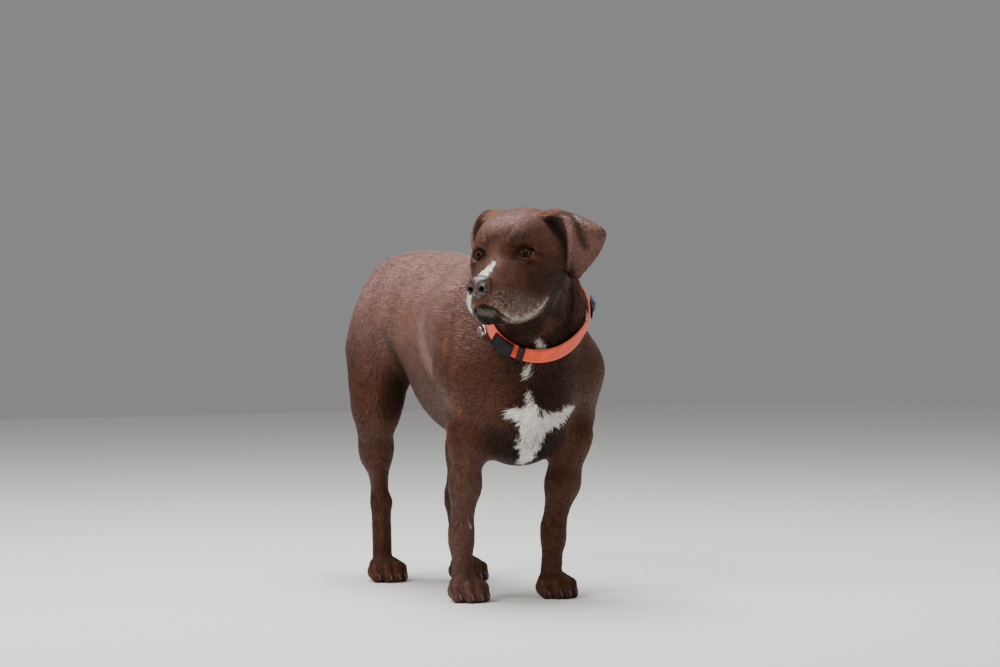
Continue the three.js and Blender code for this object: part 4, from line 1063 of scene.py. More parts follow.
def mixed(add, link, first, second, factor, kind="FLOAT", blend="MIX"):
    # two values or colours mixed by a factor: first (1 - factor) + second factor
    node = add("Mix", data_type=kind)
    if kind == "RGBA":
        node.blend_type = blend
    sockets = [s for s in node.inputs if s.enabled]
    for socket, value in zip(sockets, (factor, first, second)):
        if isinstance(value, bpy.types.NodeSocket):
            link(value, socket)
        else:
            socket.default_value = value
    return [s for s in node.outputs if s.enabled][0]


def math2(add, link, operation, a, b):
    # one operation on two numbers or sockets
    node = add("Math", operation=operation)
    for socket, value in zip(node.inputs, (a, b)):
        if isinstance(value, bpy.types.NodeSocket):
            link(value, socket)
        else:
            socket.default_value = value
    return node.outputs[0]


def coatMaterial(name, strands):
    # the coat's own colours, with hair strokes that run along the trunk, down the legs or back over the head
    material, shader, add, link = newMaterial(name)
    tone = add("Attribute", attribute_name="tone").outputs["Color"]
    if strands:
        along = noiseAt(add, link, 900, (0.5, 5, 0.5))
        down = noiseAt(add, link, 900, (0.5, 0.5, 5))
        turn = (0, math.radians(body["headNod"]), math.radians(-90 - body["headTurn"]))
        back = noiseAt(add, link, 1100, (4, 0.5, 0.5), turn)
        height = mixed(add, link, along, down, add("Attribute", attribute_name="onLegs").outputs["Fac"])
        height = mixed(add, link, height, back, add("Attribute", attribute_name="onHead").outputs["Fac"])
        locks = noiseAt(add, link, 120, (1, 2, 1), detail=2)
        relief = math2(add, link, "ADD", height, math2(add, link, "MULTIPLY", locks, 0.6))
        bumpFrom(add, link, shader, relief, 0.55, 0.0009)
        factor = ranged(add, link, height, 0.62, 1.35)
    else:
        factor = ranged(add, link, noiseAt(add, link, 260), 0.85, 1.15)
    vector = add("VectorMath", operation="SCALE")
    link(tone, vector.inputs[0])
    link(factor, vector.inputs["Scale"])
    link(vector.outputs["Vector"], shader.inputs["Base Color"])
    shader.inputs["Roughness"].default_value = 0.42 if strands else 0.5
    # dark marks shine less than the rest
    grey = add("RGBToBW")
    link(tone, grey.inputs["Color"])
    shine = (0.04, 0.36) if strands else (0.03, 0.2)
    link(ranged(add, link, grey.outputs["Val"], *shine, 0.006, 0.04), shader.inputs["Specular IOR Level"])
    shader.inputs["Specular Tint"].default_value = (1.0, 0.78, 0.7, 1)
    shader.inputs["Sheen Weight"].default_value = 0.04
    shader.inputs["Sheen Roughness"].default_value = 0.28
    shader.inputs["Sheen Tint"].default_value = (1.0, 0.92, 0.96, 1)
    return material


def plasticMaterial(name, colour, roughness):
    # moulded plastic: a fine grain, faint scuffs and a colour that varies a little
    material, shader, add, link = newMaterial(name)
    scuff = noiseAt(add, link, 160, (1, 4, 1), detail=6)
    light = tuple(min(1, c * 1.5 + 0.004) for c in colour)
    link(ramp(add, link, scuff, [(0.4, colour), (0.75, light)]), shader.inputs["Base Color"])
    link(ranged(add, link, scuff, roughness, roughness + 0.25), shader.inputs["Roughness"])
    bumpFrom(add, link, shader, noiseAt(add, link, 2600, detail=1), 0.25, 0.0002)
    shader.inputs["Specular IOR Level"].default_value = 0.16
    return material


def steelMaterial():
    # polished wire and plate, with fine scratches and dull spots
    material, shader, add, link = newMaterial("steel")
    scratch = noiseAt(add, link, 700, (1, 12, 1), detail=5)
    colour = ramp(add, link, noiseAt(add, link, 90), [(0.3, (0.5, 0.5, 0.49)), (0.7, (0.78, 0.78, 0.76))])
    link(colour, shader.inputs["Base Color"])
    shader.inputs["Metallic"].default_value = 1
    link(ranged(add, link, scratch, 0.16, 0.42), shader.inputs["Roughness"])
    bumpFrom(add, link, shader, scratch, 0.15, 0.0002)
    return material


def webbingMaterial():
    # orange webbing: a weave from two waves along its own UV, in metres, with painted shade in its hollows,
    # painted highlights on its ribs, and darker edges, the lower one most
    material, shader, add, link = newMaterial("webbing")
    uv = add("UVMap", uv_map="weave").outputs["UV"]
    split = add("SeparateXYZ")
    link(uv, split.inputs[0])
    u, v = split.outputs["X"], split.outputs["Y"]
    rib = math2(add, link, "SINE", math2(add, link, "MULTIPLY", u, 2 * math.pi / 0.0021), 0)
    half = math2(add, link, "MULTIPLY", v, 2 * math.pi / 0.0026)
    cross = math2(add, link, "SINE", math2(add, link, "ADD", half, math2(add, link, "MULTIPLY", rib, 0.9)), 0)
    weave = math2(add, link, "ADD", math2(add, link, "MULTIPLY", rib, 0.5),
                  math2(add, link, "MULTIPLY", cross, 0.5))
    fuzz = noiseAt(add, link, 1800, detail=3)
    height = math2(add, link, "ADD", weave, math2(add, link, "MULTIPLY", fuzz, 0.8))
    # painted shade and highlight: the weave darker in its hollows and paler on its ribs
    shade = ramp(add, link, math2(add, link, "MULTIPLY_ADD", height, 0.25),
                 [(0.0, linear(170, 24, 2)), (0.45, linear(255, 62, 10)), (1.0, linear(255, 112, 48))])
    grime = ramp(add, link, noiseAt(add, link, 60, detail=5), [(0.35, (0.78, 0.74, 0.72)), (0.6, (1, 1, 1))])
    # the edges darker, the lower one most
    edge = ramp(add, link, add("Attribute", attribute_name="edge").outputs["Fac"],
                [(0.55, (1, 1, 1)), (1.0, (0.34, 0.24, 0.22))])
    colour = mixed(add, link, shade, grime, 1.0, "RGBA", "MULTIPLY")
    colour = mixed(add, link, colour, edge, 1.0, "RGBA", "MULTIPLY")
    link(colour, shader.inputs["Base Color"])
    shader.inputs["Roughness"].default_value = 0.75
    shader.inputs["Sheen Weight"].default_value = 0.3
    bumpFrom(add, link, shader, height, 0.9, 0.0006)
    return material


def eyeMaterial():
    # pupil, streaked amber iris, dark ring and brownish white, by the angle from the middle of the pupil
    material, shader, add, link = newMaterial("eye glass")
    angle = add("Attribute", attribute_name="angle").outputs["Fac"]
    streak = noiseAt(add, link, 900, detail=3)
    wander = math2(add, link, "MULTIPLY", math2(add, link, "SUBTRACT", streak, 0.5), 0.035)
    moved = math2(add, link, "ADD", angle, wander)
    colour = ramp(add, link, moved, [
        (0.0, linear(1, 1, 1)), (0.25, linear(2, 2, 2)), (0.28, linear(58, 28, 10)),
        (0.34, linear(98, 50, 17)), (0.4, linear(120, 64, 23)), (0.44, linear(74, 38, 15)),
        (0.475, linear(22, 13, 10)), (0.51, linear(30, 20, 17)), (0.6, linear(52, 38, 33)),
        (0.8, linear(96, 70, 62))])
    link(colour, shader.inputs["Base Color"])
    shader.inputs["Roughness"].default_value = 0.35
    shader.inputs["Specular IOR Level"].default_value = 0.08
    shader.inputs["Coat Weight"].default_value = 0.22
    shader.inputs["Coat Roughness"].default_value = 0.02
    shader.inputs["Coat IOR"].default_value = 1.33
    bumpFrom(add, link, shader, streak, 0.08, 0.0002)
    return material


def noseMaterial():
    # pebbled brown nose leather, smoother and darker inside the nostrils, where the dark is painted shade
    material, shader, add, link = newMaterial("nose skin")
    cells = add("TexVoronoi", Scale=780, feature="DISTANCE_TO_EDGE")
    link(add("TexCoord").outputs["Object"], cells.inputs["Vector"])
    pebble = cells.outputs["Distance"]
    inner = add("Attribute", attribute_name="inside").outputs["Fac"]
    leather = ramp(add, link, pebble, [
        (0.0, linear(40, 24, 20)), (0.25, linear(78, 50, 43)), (0.6, linear(96, 66, 58))])
    blotch = ramp(add, link, noiseAt(add, link, 110), [(0.35, (0.7, 0.68, 0.68)), (0.65, (1, 1, 1))])
    leather = mixed(add, link, leather, blotch, 1.0, "RGBA", "MULTIPLY")
    # painted shade: near black inside the nostrils
    link(mixed(add, link, leather, (0.012, 0.007, 0.006, 1), inner, "RGBA"), shader.inputs["Base Color"])
    shader.inputs["Roughness"].default_value = 0.36
    shader.inputs["Coat Weight"].default_value = 0.25
    shader.inputs["Coat Roughness"].default_value = 0.3
    bumpFrom(add, link, shader, pebble, 0.5, 0.0006)
    return material


def hornMaterial():
    # dark claw horn with fine lengthwise streaks, paler towards the tip
    material, shader, add, link = newMaterial("claw horn")
    streak = noiseAt(add, link, 500, (1, 6, 4), detail=4)
    tip = add("Attribute", attribute_name="along").outputs["Fac"]
    value = math2(add, link, "ADD", math2(add, link, "MULTIPLY", tip, 0.5),
                  math2(add, link, "MULTIPLY", streak, 0.6))
    colour = ramp(add, link, value, [
        (0.2, linear(28, 22, 20)), (0.6, linear(58, 46, 40)), (1.0, linear(120, 102, 88))])
    link(colour, shader.inputs["Base Color"])
    shader.inputs["Roughness"].default_value = 0.38
    bumpFrom(add, link, shader, streak, 0.3, 0.0003)
    return material


coatSkin = coatMaterial("coat skin", True)
coatHair = coatMaterial("coat hair", False)
blackPlastic = plasticMaterial("black plastic", tuple(linear(10, 12, 14)), 0.24)
greyPlastic = plasticMaterial("grey plastic", tuple(linear(96, 102, 118)), 0.3)
steel = steelMaterial()
webbing = webbingMaterial()
eyeGlass = eyeMaterial()
noseSkin = noseMaterial()
clawHorn = hornMaterial()


# The eyes, the nose and the claws.

def gridFaces(rows, columns, closed=True):
    # quads between rows of points, closed round each row
    i, j = np.meshgrid(np.arange(rows - 1), np.arange(columns if closed else columns - 1), indexing="ij")
    i, j = i.ravel(), j.ravel()
    k = (j + 1) % columns
    return np.column_stack([i * columns + j, i * columns + k, (i + 1) * columns + k, (i + 1) * columns + j])


def lathe(rows, columns):
    # triangles of a closed shape whose first and last rows are single points
    quads = gridFaces(rows, columns) + 1
    ring = np.arange(columns)
    after = (ring + 1) % columns
    last = 1 + rows * columns
    base = last - columns
    return np.concatenate([
        quads[:, [0, 1, 2]], quads[:, [0, 2, 3]],
        np.column_stack([np.zeros(columns, int), 1 + after, 1 + ring]),
        np.column_stack([np.full(columns, last), base + ring, base + after])])


def makeEye(side):
    # a ball with a cornea that bulges: r = 12 mm + 0.9 mm (1 - (angle / 38 degrees)^2) inside 38 degrees
    rows, columns = 60, 72
    angle = np.linspace(0, math.pi, rows + 2)[1:-1]
    turn = np.arange(columns) / columns * 2 * math.pi
    look = math.radians(eye["gaze"] + side * eye["spread"])
    out = unit([math.cos(look), math.sin(look), -0.03])
    across = unit(np.cross([0, 0, 1], out))
    up = np.cross(out, across)
    every = np.concatenate([[0], angle, [math.pi]])
    reach = body["eyeRadius"] + 0.0009 * np.clip(1 - (every / math.radians(38)) ** 2, 0, 1)
    ring = np.cos(turn)[:, None] * across + np.sin(turn)[:, None] * up
    ways = np.cos(angle)[:, None, None] * out + np.sin(angle)[:, None, None] * ring
    points = (reach[1:-1, None, None] * ways).reshape(-1, 3)
    points = np.concatenate([[out * reach[0]], points, [-out * reach[-1]]])
    centre = eyeCentre * [1, side, 1]
    name = "left" if side > 0 else "right"
    faces = lathe(rows, columns)[:, ::-1]
    piece = newPiece("eyeball_" + name, fromHead(centre + points), faces, eyeGlass,
                     ["eye_" + name])
    addWeight(piece, "angle", np.concatenate([[0], np.repeat(angle, columns), [math.pi]]) / math.pi * 2)


noseSet = {"step": 0.0008, "middle": (0.093, -0.002, -0.0355)}


def makeNose():
    # a blunt egg with winged nostrils that curl out and back, and a groove down its middle
    middle = np.array(noseSet["middle"])
    forms = [egg(middle + [-0.001, 0, 0.0], (0.0155, 0.0205, 0.0142), 0.001),
             egg(middle + [-0.003, 0, 0.0105], (0.0165, 0.0192, 0.0098), 0.004),
             egg(middle + [0.008, 0, 0.001], (0.009, 0.0062, 0.0118), 0.0035),
             bar(middle + [0.0095, 0, -0.005], 0.0056, middle + [0.0055, 0, -0.0112], 0.005, 0.005)]
    for side in (1, -1):
        forms += [
            egg(middle + [0.0062, side * 0.0122, 0.0006], (0.0094, 0.0088, 0.0104), 0.0035),
            hollow(bar(middle + [0.0205, side * 0.0092, 0.0008], 0.0051,
                       middle + [0.006, side * 0.0116, 0.002], 0.0034, 0.0018)),
            hollow(bar(middle + [0.0145, side * 0.0116, -0.0028], 0.0026,
                       middle + [0.0078, side * 0.0205, -0.004], 0.0016, 0.0018)),
        ]
    forms += [hollow(bar(middle + [0.0185, 0, 0.002], 0.0007, middle + [0.009, 0, -0.017], 0.0012, 0.0024))]
    low, high = middle - 0.026, middle + 0.026
    points, triangles = surfaceNet(low, high, noseSet["step"], lambda p: joined(forms, p))
    q = points - middle
    inside = np.zeros(len(points))
    for side in (1, -1):
        bore = lineDistance(q, (0.013, side * 0.0098, 0.001), (0.005, side * 0.0116, 0.002))[0]
        slit = lineDistance(q, (0.0135, side * 0.0118, -0.0028), (0.008, side * 0.0198, -0.004))[0]
        # how far inside the nostrils each point is, for the painted shade there
        inside = np.maximum(inside, ease(1 - (bore - 0.0042) / 0.0014) * (q[:, 0] < 0.0145))
        inside = np.maximum(inside, 0.9 * ease(1 - (slit - 0.002) / 0.0012))
    piece = newPiece("nose_leather", fromHead(points), triangles, noseSkin, ["nose"])
    addWeight(piece, "inside", inside)
    print("nose:", len(triangles), "triangles")


def makeClaws():
    # curved cones: the middle line is lifted by 2.6 mm * 4 t (1 - t), the radius is 3.1 mm (1 - t^1.6)
    rows, columns = 9, 10
    t = np.linspace(0, 1, rows + 1)[:-1]
    turn = np.arange(columns) / columns * 2 * math.pi
    for leg, (fx, fy) in feet.items():
        points, faces, along, names = [], [], [], []
        for number, spot in enumerate(toes["spots"]):
            x, y = toeTip(fx, fy - toes["forwards"], spot)
            start, tip = np.array([x, y + 0.001, 0.0145]), np.array([x + spot * 0.0008, y - 0.0145, 0.0042])
            bow = np.array([0, -0.0006, 0.0026]) * (t * (1 - t) * 4)[:, None]
            line = start + (tip - start) * t[:, None] + bow
            radius = 0.0031 * (1 - t ** 1.6)[:, None, None]
            out = unit(tip - start)
            up = unit(np.cross(np.cross(out, [0, 0, 1]), out))
            over = np.cross(out, up)
            ring = line[:, None] + radius * (np.cos(turn)[:, None] * over * 0.8 + np.sin(turn)[:, None] * up)
            base = sum(len(p) for p in points)
            points.append(np.concatenate([[start - out * 0.001], ring.reshape(-1, 3), [tip]]))
            faces.append(lathe(rows, columns) + base)
            along.append(np.concatenate([[0], np.repeat(t, columns), [1]]))
            names.append("claw_%s_%d" % (leg, number + 1))
        piece = newPiece("claws_" + leg, np.concatenate(points), np.concatenate(faces), clawHorn,
                         names)
        addWeight(piece, "along", np.concatenate(along))


# The collar: its own front and left, square to the way it stands.
collarFront = unit(np.array([0, -1.0, 0]) - collarUp * -collarUp[1])
collarLeft = np.cross(collarUp, collarFront)
strap = {"width": 0.025, "thick": 0.0026, "lay": 0.0031}
strapTop = strap["lay"] + strap["thick"]
block = {"least": 0.35 * 0.04, "inset": 0.0016}   # how small a block's ends get, and how far they draw in


def bareField(p):
    # the flesh without the ears and the fine work on the eyes
    d = joined(trunkForms + tailForms + neckForms, p)
    for forms in legForms:
        d = blendMin(d, joined(forms, p), 0.035)
    return blendMin(d, joined(headForms, laidOver(toHead(p))), 0.03)


def collarPlaces(angles, heights, offs):
    # places round the neck: degrees from the throat to the left, a height across the strap, and a lift
    # off the coat; each walks out to the coat, goes across, and is brought back to the coat's height
    shape = np.broadcast(angles, heights, offs).shape
    angles, heights, offs = [np.broadcast_to(a, shape).ravel() for a in (angles, heights, offs)]
    spots, back = np.unique(np.round(angles, 6), return_inverse=True)
    out = np.cos(np.radians(spots))[:, None] * collarFront + np.sin(np.radians(spots))[:, None] * collarLeft
    reach = np.full(len(spots), 0.07)
    for _ in range(40):
        reach -= bareField(collarCentre + reach[:, None] * out) * 0.7
    p = collarCentre + reach[:, None] * out
    n = unit(slopeOf(bareField, p, bareField(p)))
    across = unit(collarUp - n * (n @ collarUp)[:, None])
    p = p[back] + across[back] * heights[:, None]
    for _ in range(3):
        d = bareField(p)
        n = unit(slopeOf(bareField, p, d))
        p = p - d[:, None] * n
    return p + n * offs[:, None]


def makeStrap():
    # a band whose section is a flat rounded strip, |y| = half (0.35 + 0.65 sqrt(1 - |x|^14)); the
    # weave's UV is in metres round and across
    count, side = 300, 9
    angles = np.arange(count) / count * 360
    w, half = strap["width"] / 2, strap["thick"] / 2
    rise = np.linspace(-1, 1, side)
    height = np.concatenate([rise * w, rise[::-1] * w])
    bulge = half * (0.35 + 0.65 * np.sqrt(np.clip(1 - np.abs(rise) ** 14, 0, 1)))
    off = strap["lay"] + half + np.concatenate([bulge, -bulge])
    points = collarPlaces(angles[:, None], height[None], off[None])
    quads = gridFaces(count + 1, len(height))
    quads = quads % (count * len(height))
    piece = newPiece("strap", points, quads, webbing, ["collar_strap"])
    mesh = piece.data
    ring = points.reshape(count, -1, 3)[:, 4]
    run = np.concatenate([[0], np.cumsum(np.linalg.norm(np.diff(ring, axis=0, append=ring[:1]), axis=1))])
    layer = mesh.uv_layers.new(name="weave")
    corner = quads.ravel()
    start = np.repeat(np.arange(len(quads)) // len(height), 4)
    row = start + np.tile([0, 0, 1, 1], len(quads))
    uv = np.column_stack([run[row], height[corner % len(height)]])
    layer.data.foreach_set("uv", uv.astype(np.float32).ravel())
    lowEdge = ease((-height - w * 0.72) / (w * 0.28)) + 0.5 * ease((height - w * 0.86) / (w * 0.14))
    addWeight(piece, "edge", np.tile(np.clip(lowEdge, 0, 1), count))
    print("strap:", len(quads) * 2, "triangles, length", round(run[-1], 3))


def roundedSquare(columns, power):
    # points round a square with rounded corners: |x|^p + |y|^p = 1
    turn = np.arange(columns) / columns * 2 * math.pi
    c, s = np.cos(turn), np.sin(turn)
    return np.sign(c) * np.abs(c) ** (2 / power), np.sign(s) * np.abs(s) ** (2 / power)


def bentBlock(ends, heights, lifts, power=5.0, rows=26, columns=28):
    # a block bent round the neck, with a rounded square for its section that shrinks at both ends as
    # (1 - |t|^10)^(1/6)
    t = np.linspace(-1, 1, rows)
    shrink = (1 - np.abs(t) ** 10) ** (1 / 6) * (1 - block["least"]) + block["least"]
    x, y = roundedSquare(columns, power)
    middle, half = sum(heights) / 2, (heights[1] - heights[0]) / 2
    lift, deep = sum(lifts) / 2, (lifts[1] - lifts[0]) / 2
    angles = (ends[0] + ends[1]) / 2 + (ends[1] - ends[0]) / 2 * t
    h = middle + x[None] * (half - (1 - shrink)[:, None] * block["inset"])
    o = strapTop + lift + y[None] * deep * shrink[:, None]
    points = collarPlaces(angles[:, None], h, o)
    caps = collarPlaces(np.array([angles[0], angles[-1]]), middle, strapTop + lift)
    return np.concatenate([caps[:1], points, caps[1:]]), lathe(rows, columns)


def ordered(points, triangles):
    # triangles turned so that the closed shape faces out: its volume is positive
    a, b, c = (points[triangles[:, n]] for n in range(3))
    return triangles if (np.cross(a, b) * c).sum() > 0 else triangles[:, ::-1]


def joinedShapes(shapes):
    # several closed shapes as one, each turned so that it faces out
    points, faces, base = [], [], 0
    for p, f in shapes:
        f = ordered(p - p.mean(0), f)
        points.append(p)
        faces.append(f + base)
        base += len(p)
    return np.concatenate(points), np.concatenate(faces)


def makeBuckle():
    # a side release buckle: a socket, a tongue with two sprung arms at its edges, a raised plate and
    # four ribs for the thumb
    shapes = [bentBlock((-67.5, -51), (-0.0148, 0.0148), (0.0016, 0.0088)),
              bentBlock((-75.8, -67.2), (-0.0138, 0.0138), (0.0016, 0.0062)),
              bentBlock((-75.4, -73.4), (-0.0144, 0.0144), (0.0018, 0.0078), rows=14),
              bentBlock((-66.5, -52), (-0.0095, 0.0095), (0.0082, 0.0093), power=3.2)]
    for side in (1, -1):
        edges = tuple(sorted((side * 0.0122, side * 0.0152)))
        shapes.append(bentBlock((-69.5, -60), edges, (0.0026, 0.0072), power=3, rows=18))
    for n in range(4):
        shapes.append(bentBlock((-65.4 + n * 1.5, -64.7 + n * 1.5), (-0.0075, 0.0075), (0.0088, 0.0097),
                                power=3, rows=10, columns=16))
    points, faces = joinedShapes(shapes)
    newPiece("buckle_halves", points, faces, blackPlastic, ["buckle"])


def makeSlider():
    # a slider: two long bars and two cheeks round the doubled webbing
    shapes = [bentBlock((-46.2, -44.0), (-0.0151, 0.0151), (0.0013, 0.0048), power=3.5, rows=14),
              bentBlock((-43.2, -39.2), (-0.0151, 0.0151), (0.0013, 0.0048), power=3.5, rows=14)]
    for side in (1, -1):
        edges = tuple(sorted((side * 0.0121, side * 0.0151)))
        shapes.append(bentBlock((-46.8, -39.8), edges, (0.0014, 0.0045), power=3.5, rows=14))
    points, faces = joinedShapes(shapes)
    newPiece("slider_frame", points, faces, blackPlastic, ["slider"])


def blockOnStrap(angle, off, long, tall, deep, power=7.0, rows=28, columns=44):
    # a block that lies flat against the strap: a rounded square whose edges draw in by
    # 0.35 (1 - (1 - |t|^7)^(1/3)) of its size over its depth
    at = collarPlaces(np.array([angle]), 0.0, 0.0)[0]
    out = unit(slopeOf(bareField, at[None], bareField(at[None])))[0]
    up = unit(collarUp - out * (out @ collarUp))
    along = np.cross(up, out)
    t = np.linspace(-1, 1, rows)
    shrink = (1 - np.abs(t) ** 7) ** (1 / 3)
    x, y = roundedSquare(columns, power)
    x, y = x * (long / 2), y * (tall / 2)
    inset = (1 - shrink) * 0.35
    lift = off + deep * (t + 1) / 2
    points = (at + (1 - inset)[:, None, None] * (x[:, None] * along + y[:, None] * up)
              + lift[:, None, None] * out)
    caps = [at + lift[0] * out, at + lift[-1] * out]
    return np.concatenate([caps[:1], points.reshape(-1, 3), caps[1:]]), lathe(rows, columns)


def makeTracker():
    # a flat clip against the webbing, and a case of two halves with a seam between and a raised button
    points, faces = joinedShapes([blockOnStrap(80, strapTop + 0.0015, 0.0298, 0.0268, 0.0022)])
    newPiece("tracker_mount", points, faces, blackPlastic, ["tracker_clip"])
    case = [blockOnStrap(86, strapTop + 0.0049, 0.0216, 0.0256, 0.0025),
            blockOnStrap(86, strapTop + 0.0075, 0.0218, 0.0258, 0.0028),
            blockOnStrap(86, strapTop + 0.0101, 0.012, 0.0145, 0.0006, power=2.6, rows=10)]
    points, faces = joinedShapes(case)
    newPiece("tracker_shell", points, faces, greyPlastic, ["tracker_case"])


def makeTag():
    # a wire ring under the strap, and a round tag with a raised rim, each facing out
    hanging = {"angle": -92, "off": 0.0062, "wire": 0.0013, "ring": 0.008, "tag": 0.01, "thick": 0.0016}
    w = strap["width"] / 2

    def hang(height):
        # a place that hangs at a height on the collar, with its own sideways, up and out
        at = collarPlaces(np.array([hanging["angle"]]), height, strapTop + hanging["off"])[0]
        out = at - collarCentre
        out = unit(out - collarUp * (out @ collarUp))
        side = unit(np.cross([0, 0, 1.0], out))
        return at, side, np.cross(out, side), out
    at, side, up, out = hang(-w)
    rows, columns = 64, 14
    a = np.arange(rows) / rows * 2 * math.pi
    b = np.arange(columns) / columns * 2 * math.pi
    way = np.cos(a)[:, None] * side + np.sin(a)[:, None] * up
    reach = hanging["ring"] + hanging["wire"] * np.cos(b)
    points = at + reach[None, :, None] * way[:, None] + (hanging["wire"] * np.sin(b))[None, :, None] * out
    quads = gridFaces(rows + 1, columns) % (rows * columns)
    points = points.reshape(-1, 3)
    faces = ordered(points - points.mean(0), np.concatenate([quads[:, :3], quads[:, [0, 2, 3]]]))
    newPiece("split_ring", points, faces, steel, ["ring"])
    at, side, up, out = hang(-w - hanging["ring"] - hanging["wire"] - hanging["tag"] - 0.0004)
    front = [(0.78, 0.42), (0.82, 0.5), (0.97, 0.5), (1.0, 0.3)]
    profile = front + [(r, -h) for r, h in front[::-1]]
    radius = np.array([r for r, _ in profile]) * hanging["tag"]
    height = np.array([h for _, h in profile]) * hanging["thick"]
    a = np.arange(56) / 56 * 2 * math.pi
    way = np.cos(a)[:, None] * side + np.sin(a)[:, None] * up
    points = at + radius[:, None, None] * way[None] + height[:, None, None] * out
    face = out * 0.42 * hanging["thick"]
    points = np.concatenate([[at + face], points.reshape(-1, 3), [at - face]])
    faces = lathe(len(radius), 56)
    faces = ordered(points - points.mean(0), faces)
    newPiece("tag_disc", points, faces, steel, ["tag"], smooth=False)


# The coat's tufts: how far a root sinks in, how much it sways, and its width on the map.
coat = {
    "sink": 0.0004,      # how far a tuft's root goes into the skin
    "sway": 9.0,         # degrees that tufts turn from the lie of the coat
    "patch": 0.003,      # how wide a tuft is on the OFBake map
}


def onEarSheet(p):
    # 1 on the ears and 0 off them
    q = toHead(p)
    on = np.zeros(len(p))
    for side in (1, -1):
        close = nearEar(side, q, 0.1)
        if len(close):
            on[close] = np.maximum(on[close], earNearest(side, q[close])[2] < 0.004)
    return on


def hairOf(p):
    # length, width, lift and number per square metre: short and close on the face and feet, longer on the
    # chest, the neck, the backs of the thighs and the tail
    q = toHead(p)
    onHead = ease(1 - (np.linalg.norm(q - [-0.02, 0, -0.03], axis=1) - 0.1) / 0.05)
    onMuzzle = ease(1 - (np.linalg.norm(q - [0.06, 0, -0.06], axis=1) - 0.045) / 0.06)
    onLegs = ease((0.3 - p[:, 2]) / 0.08)
    onFeet = ease((0.075 - p[:, 2]) / 0.05)
    side = np.abs(p[:, 0])
    behind = brush(np.column_stack([side, p[:, 1:]]),
                   [((0.06, 0.27, 0.46), (0.07, 0.24, 0.3), 0.03, 0.02, 0.03)])
    front = ease((-0.27 - p[:, 1]) / 0.04) * (1 - onHead) * ease((p[:, 2] - 0.24) / 0.04)
    tail = ease((p[:, 1] - 0.31) / 0.02)
    under = ease((0.36 - p[:, 2]) / 0.05) * ease((p[:, 1] + 0.2) / 0.05) * (1 - onLegs)
    high = np.abs((p - collarCentre) @ collarUp)
    byCollar = (ease(1 - (high - 0.012) / 0.008) * ease((p[:, 2] - 0.38) / 0.02)
                * ease((-0.15 - p[:, 1]) / 0.02))
    onEars = ease((onEarSheet(p) - 0.5) * 2)

    def blend(base, *pairs):
        # a value moved towards each amount in turn by its weight
        value = np.full(len(p), float(base))
        for amount, weight in pairs:
            value += (amount - value) * weight
        return value
    length = blend(0.0105, (0.013, front), (0.0145, behind), (0.013, tail), (0.012, under),
                   (0.0068, onLegs), (0.0036, onFeet), (0.0058, onHead), (0.0032, onMuzzle), (0.0044, onEars))
    width = blend(0.0012, (0.0009, onLegs), (0.00062, onFeet), (0.00072, onHead), (0.00052, onMuzzle))
    lift = blend(0.001, (0.0017, front), (0.0021, behind), (0.0018, tail), (0.0014, under),
                 (0.0007, onLegs), (0.0005, onFeet), (0.0006, onHead), (0.00045, onMuzzle), (0.0003, onEars),
                 (0.003, byCollar))
    number = blend(1.15e5, (1.7e5, onLegs), (3.2e5, onFeet), (2.9e5, onHead), (5.2e5, onMuzzle))
    return length, width, lift, number


coatPieces = ["head", "ears", "neck", "foreleg_left", "foreleg_right", "hindleg_left", "hindleg_right",
              "tail", "shoulder_left", "shoulder_right", "rump_left", "rump_right", "chest"]


def pieceOf(p):
    # which coat piece a root belongs to, as its place in the list
    q = toHead(p)
    high = (p - collarCentre) @ collarUp
    left = p[:, 0] > 0.004
    piece = np.where(p[:, 1] < -0.04, np.where(left, 8, 9), np.where(left, 10, 11))
    piece = np.where((p[:, 1] < -0.27) & (high < 0), 12, piece)
    piece = np.where((high > -0.02) & (p[:, 2] > 0.38) & (p[:, 1] < -0.18), 2, piece)
    piece = np.where((high > 0.0) & (np.linalg.norm(q - [-0.01, 0, -0.02], axis=1) < 0.125), 0, piece)
    piece = np.where(onEarSheet(p) > 0.5, 1, piece)
    piece = np.where((p[:, 2] < 0.3) & (p[:, 1] < 0), np.where(left, 3, 4), piece)
    piece = np.where((p[:, 2] < 0.36) & (p[:, 1] > 0.03), np.where(left, 5, 6), piece)
    return np.where(p[:, 1] > 0.3, 7, piece)


def seeded(points, triangles):
    # roots spread over the skin: as many on each face as its area and hairiness ask for
    a, b, c = (points[triangles[:, n]] for n in range(3))
    area = np.linalg.norm(np.cross(b - a, c - a), axis=1) / 2
    centre = (a + b + c) / 3
    wanted = area * hairOf(centre)[3]
    q = laidOver(toHead(centre))
    wanted[np.linalg.norm(q - eyeCentre, axis=1) < 0.0155] = 0
    wanted[np.linalg.norm((q - noseSet["middle"]) / [0.018, 0.0225, 0.0165], axis=1) < 1] = 0
    wanted[centre[:, 2] < 0.004] = 0
    wanted[brush(q, marks["mouth"]) > 0.5] = 0
    count = np.floor(wanted + rng.random(len(wanted))).astype(int)
    face = np.repeat(np.arange(len(triangles)), count)
    u, v = rng.random((2, len(face)))
    over = u + v > 1
    u[over], v[over] = 1 - u[over], 1 - v[over]
    return face, np.column_stack([1 - u - v, u, v])


def addBakeMap(piece, uv, triangles):
    # each vertex's place on the bake map, given to every corner that meets it
    layer = piece.data.uv_layers.new(name="OFBake")
    layer.data.foreach_set("uv", uv[triangles.ravel()].astype(np.float32).ravel())


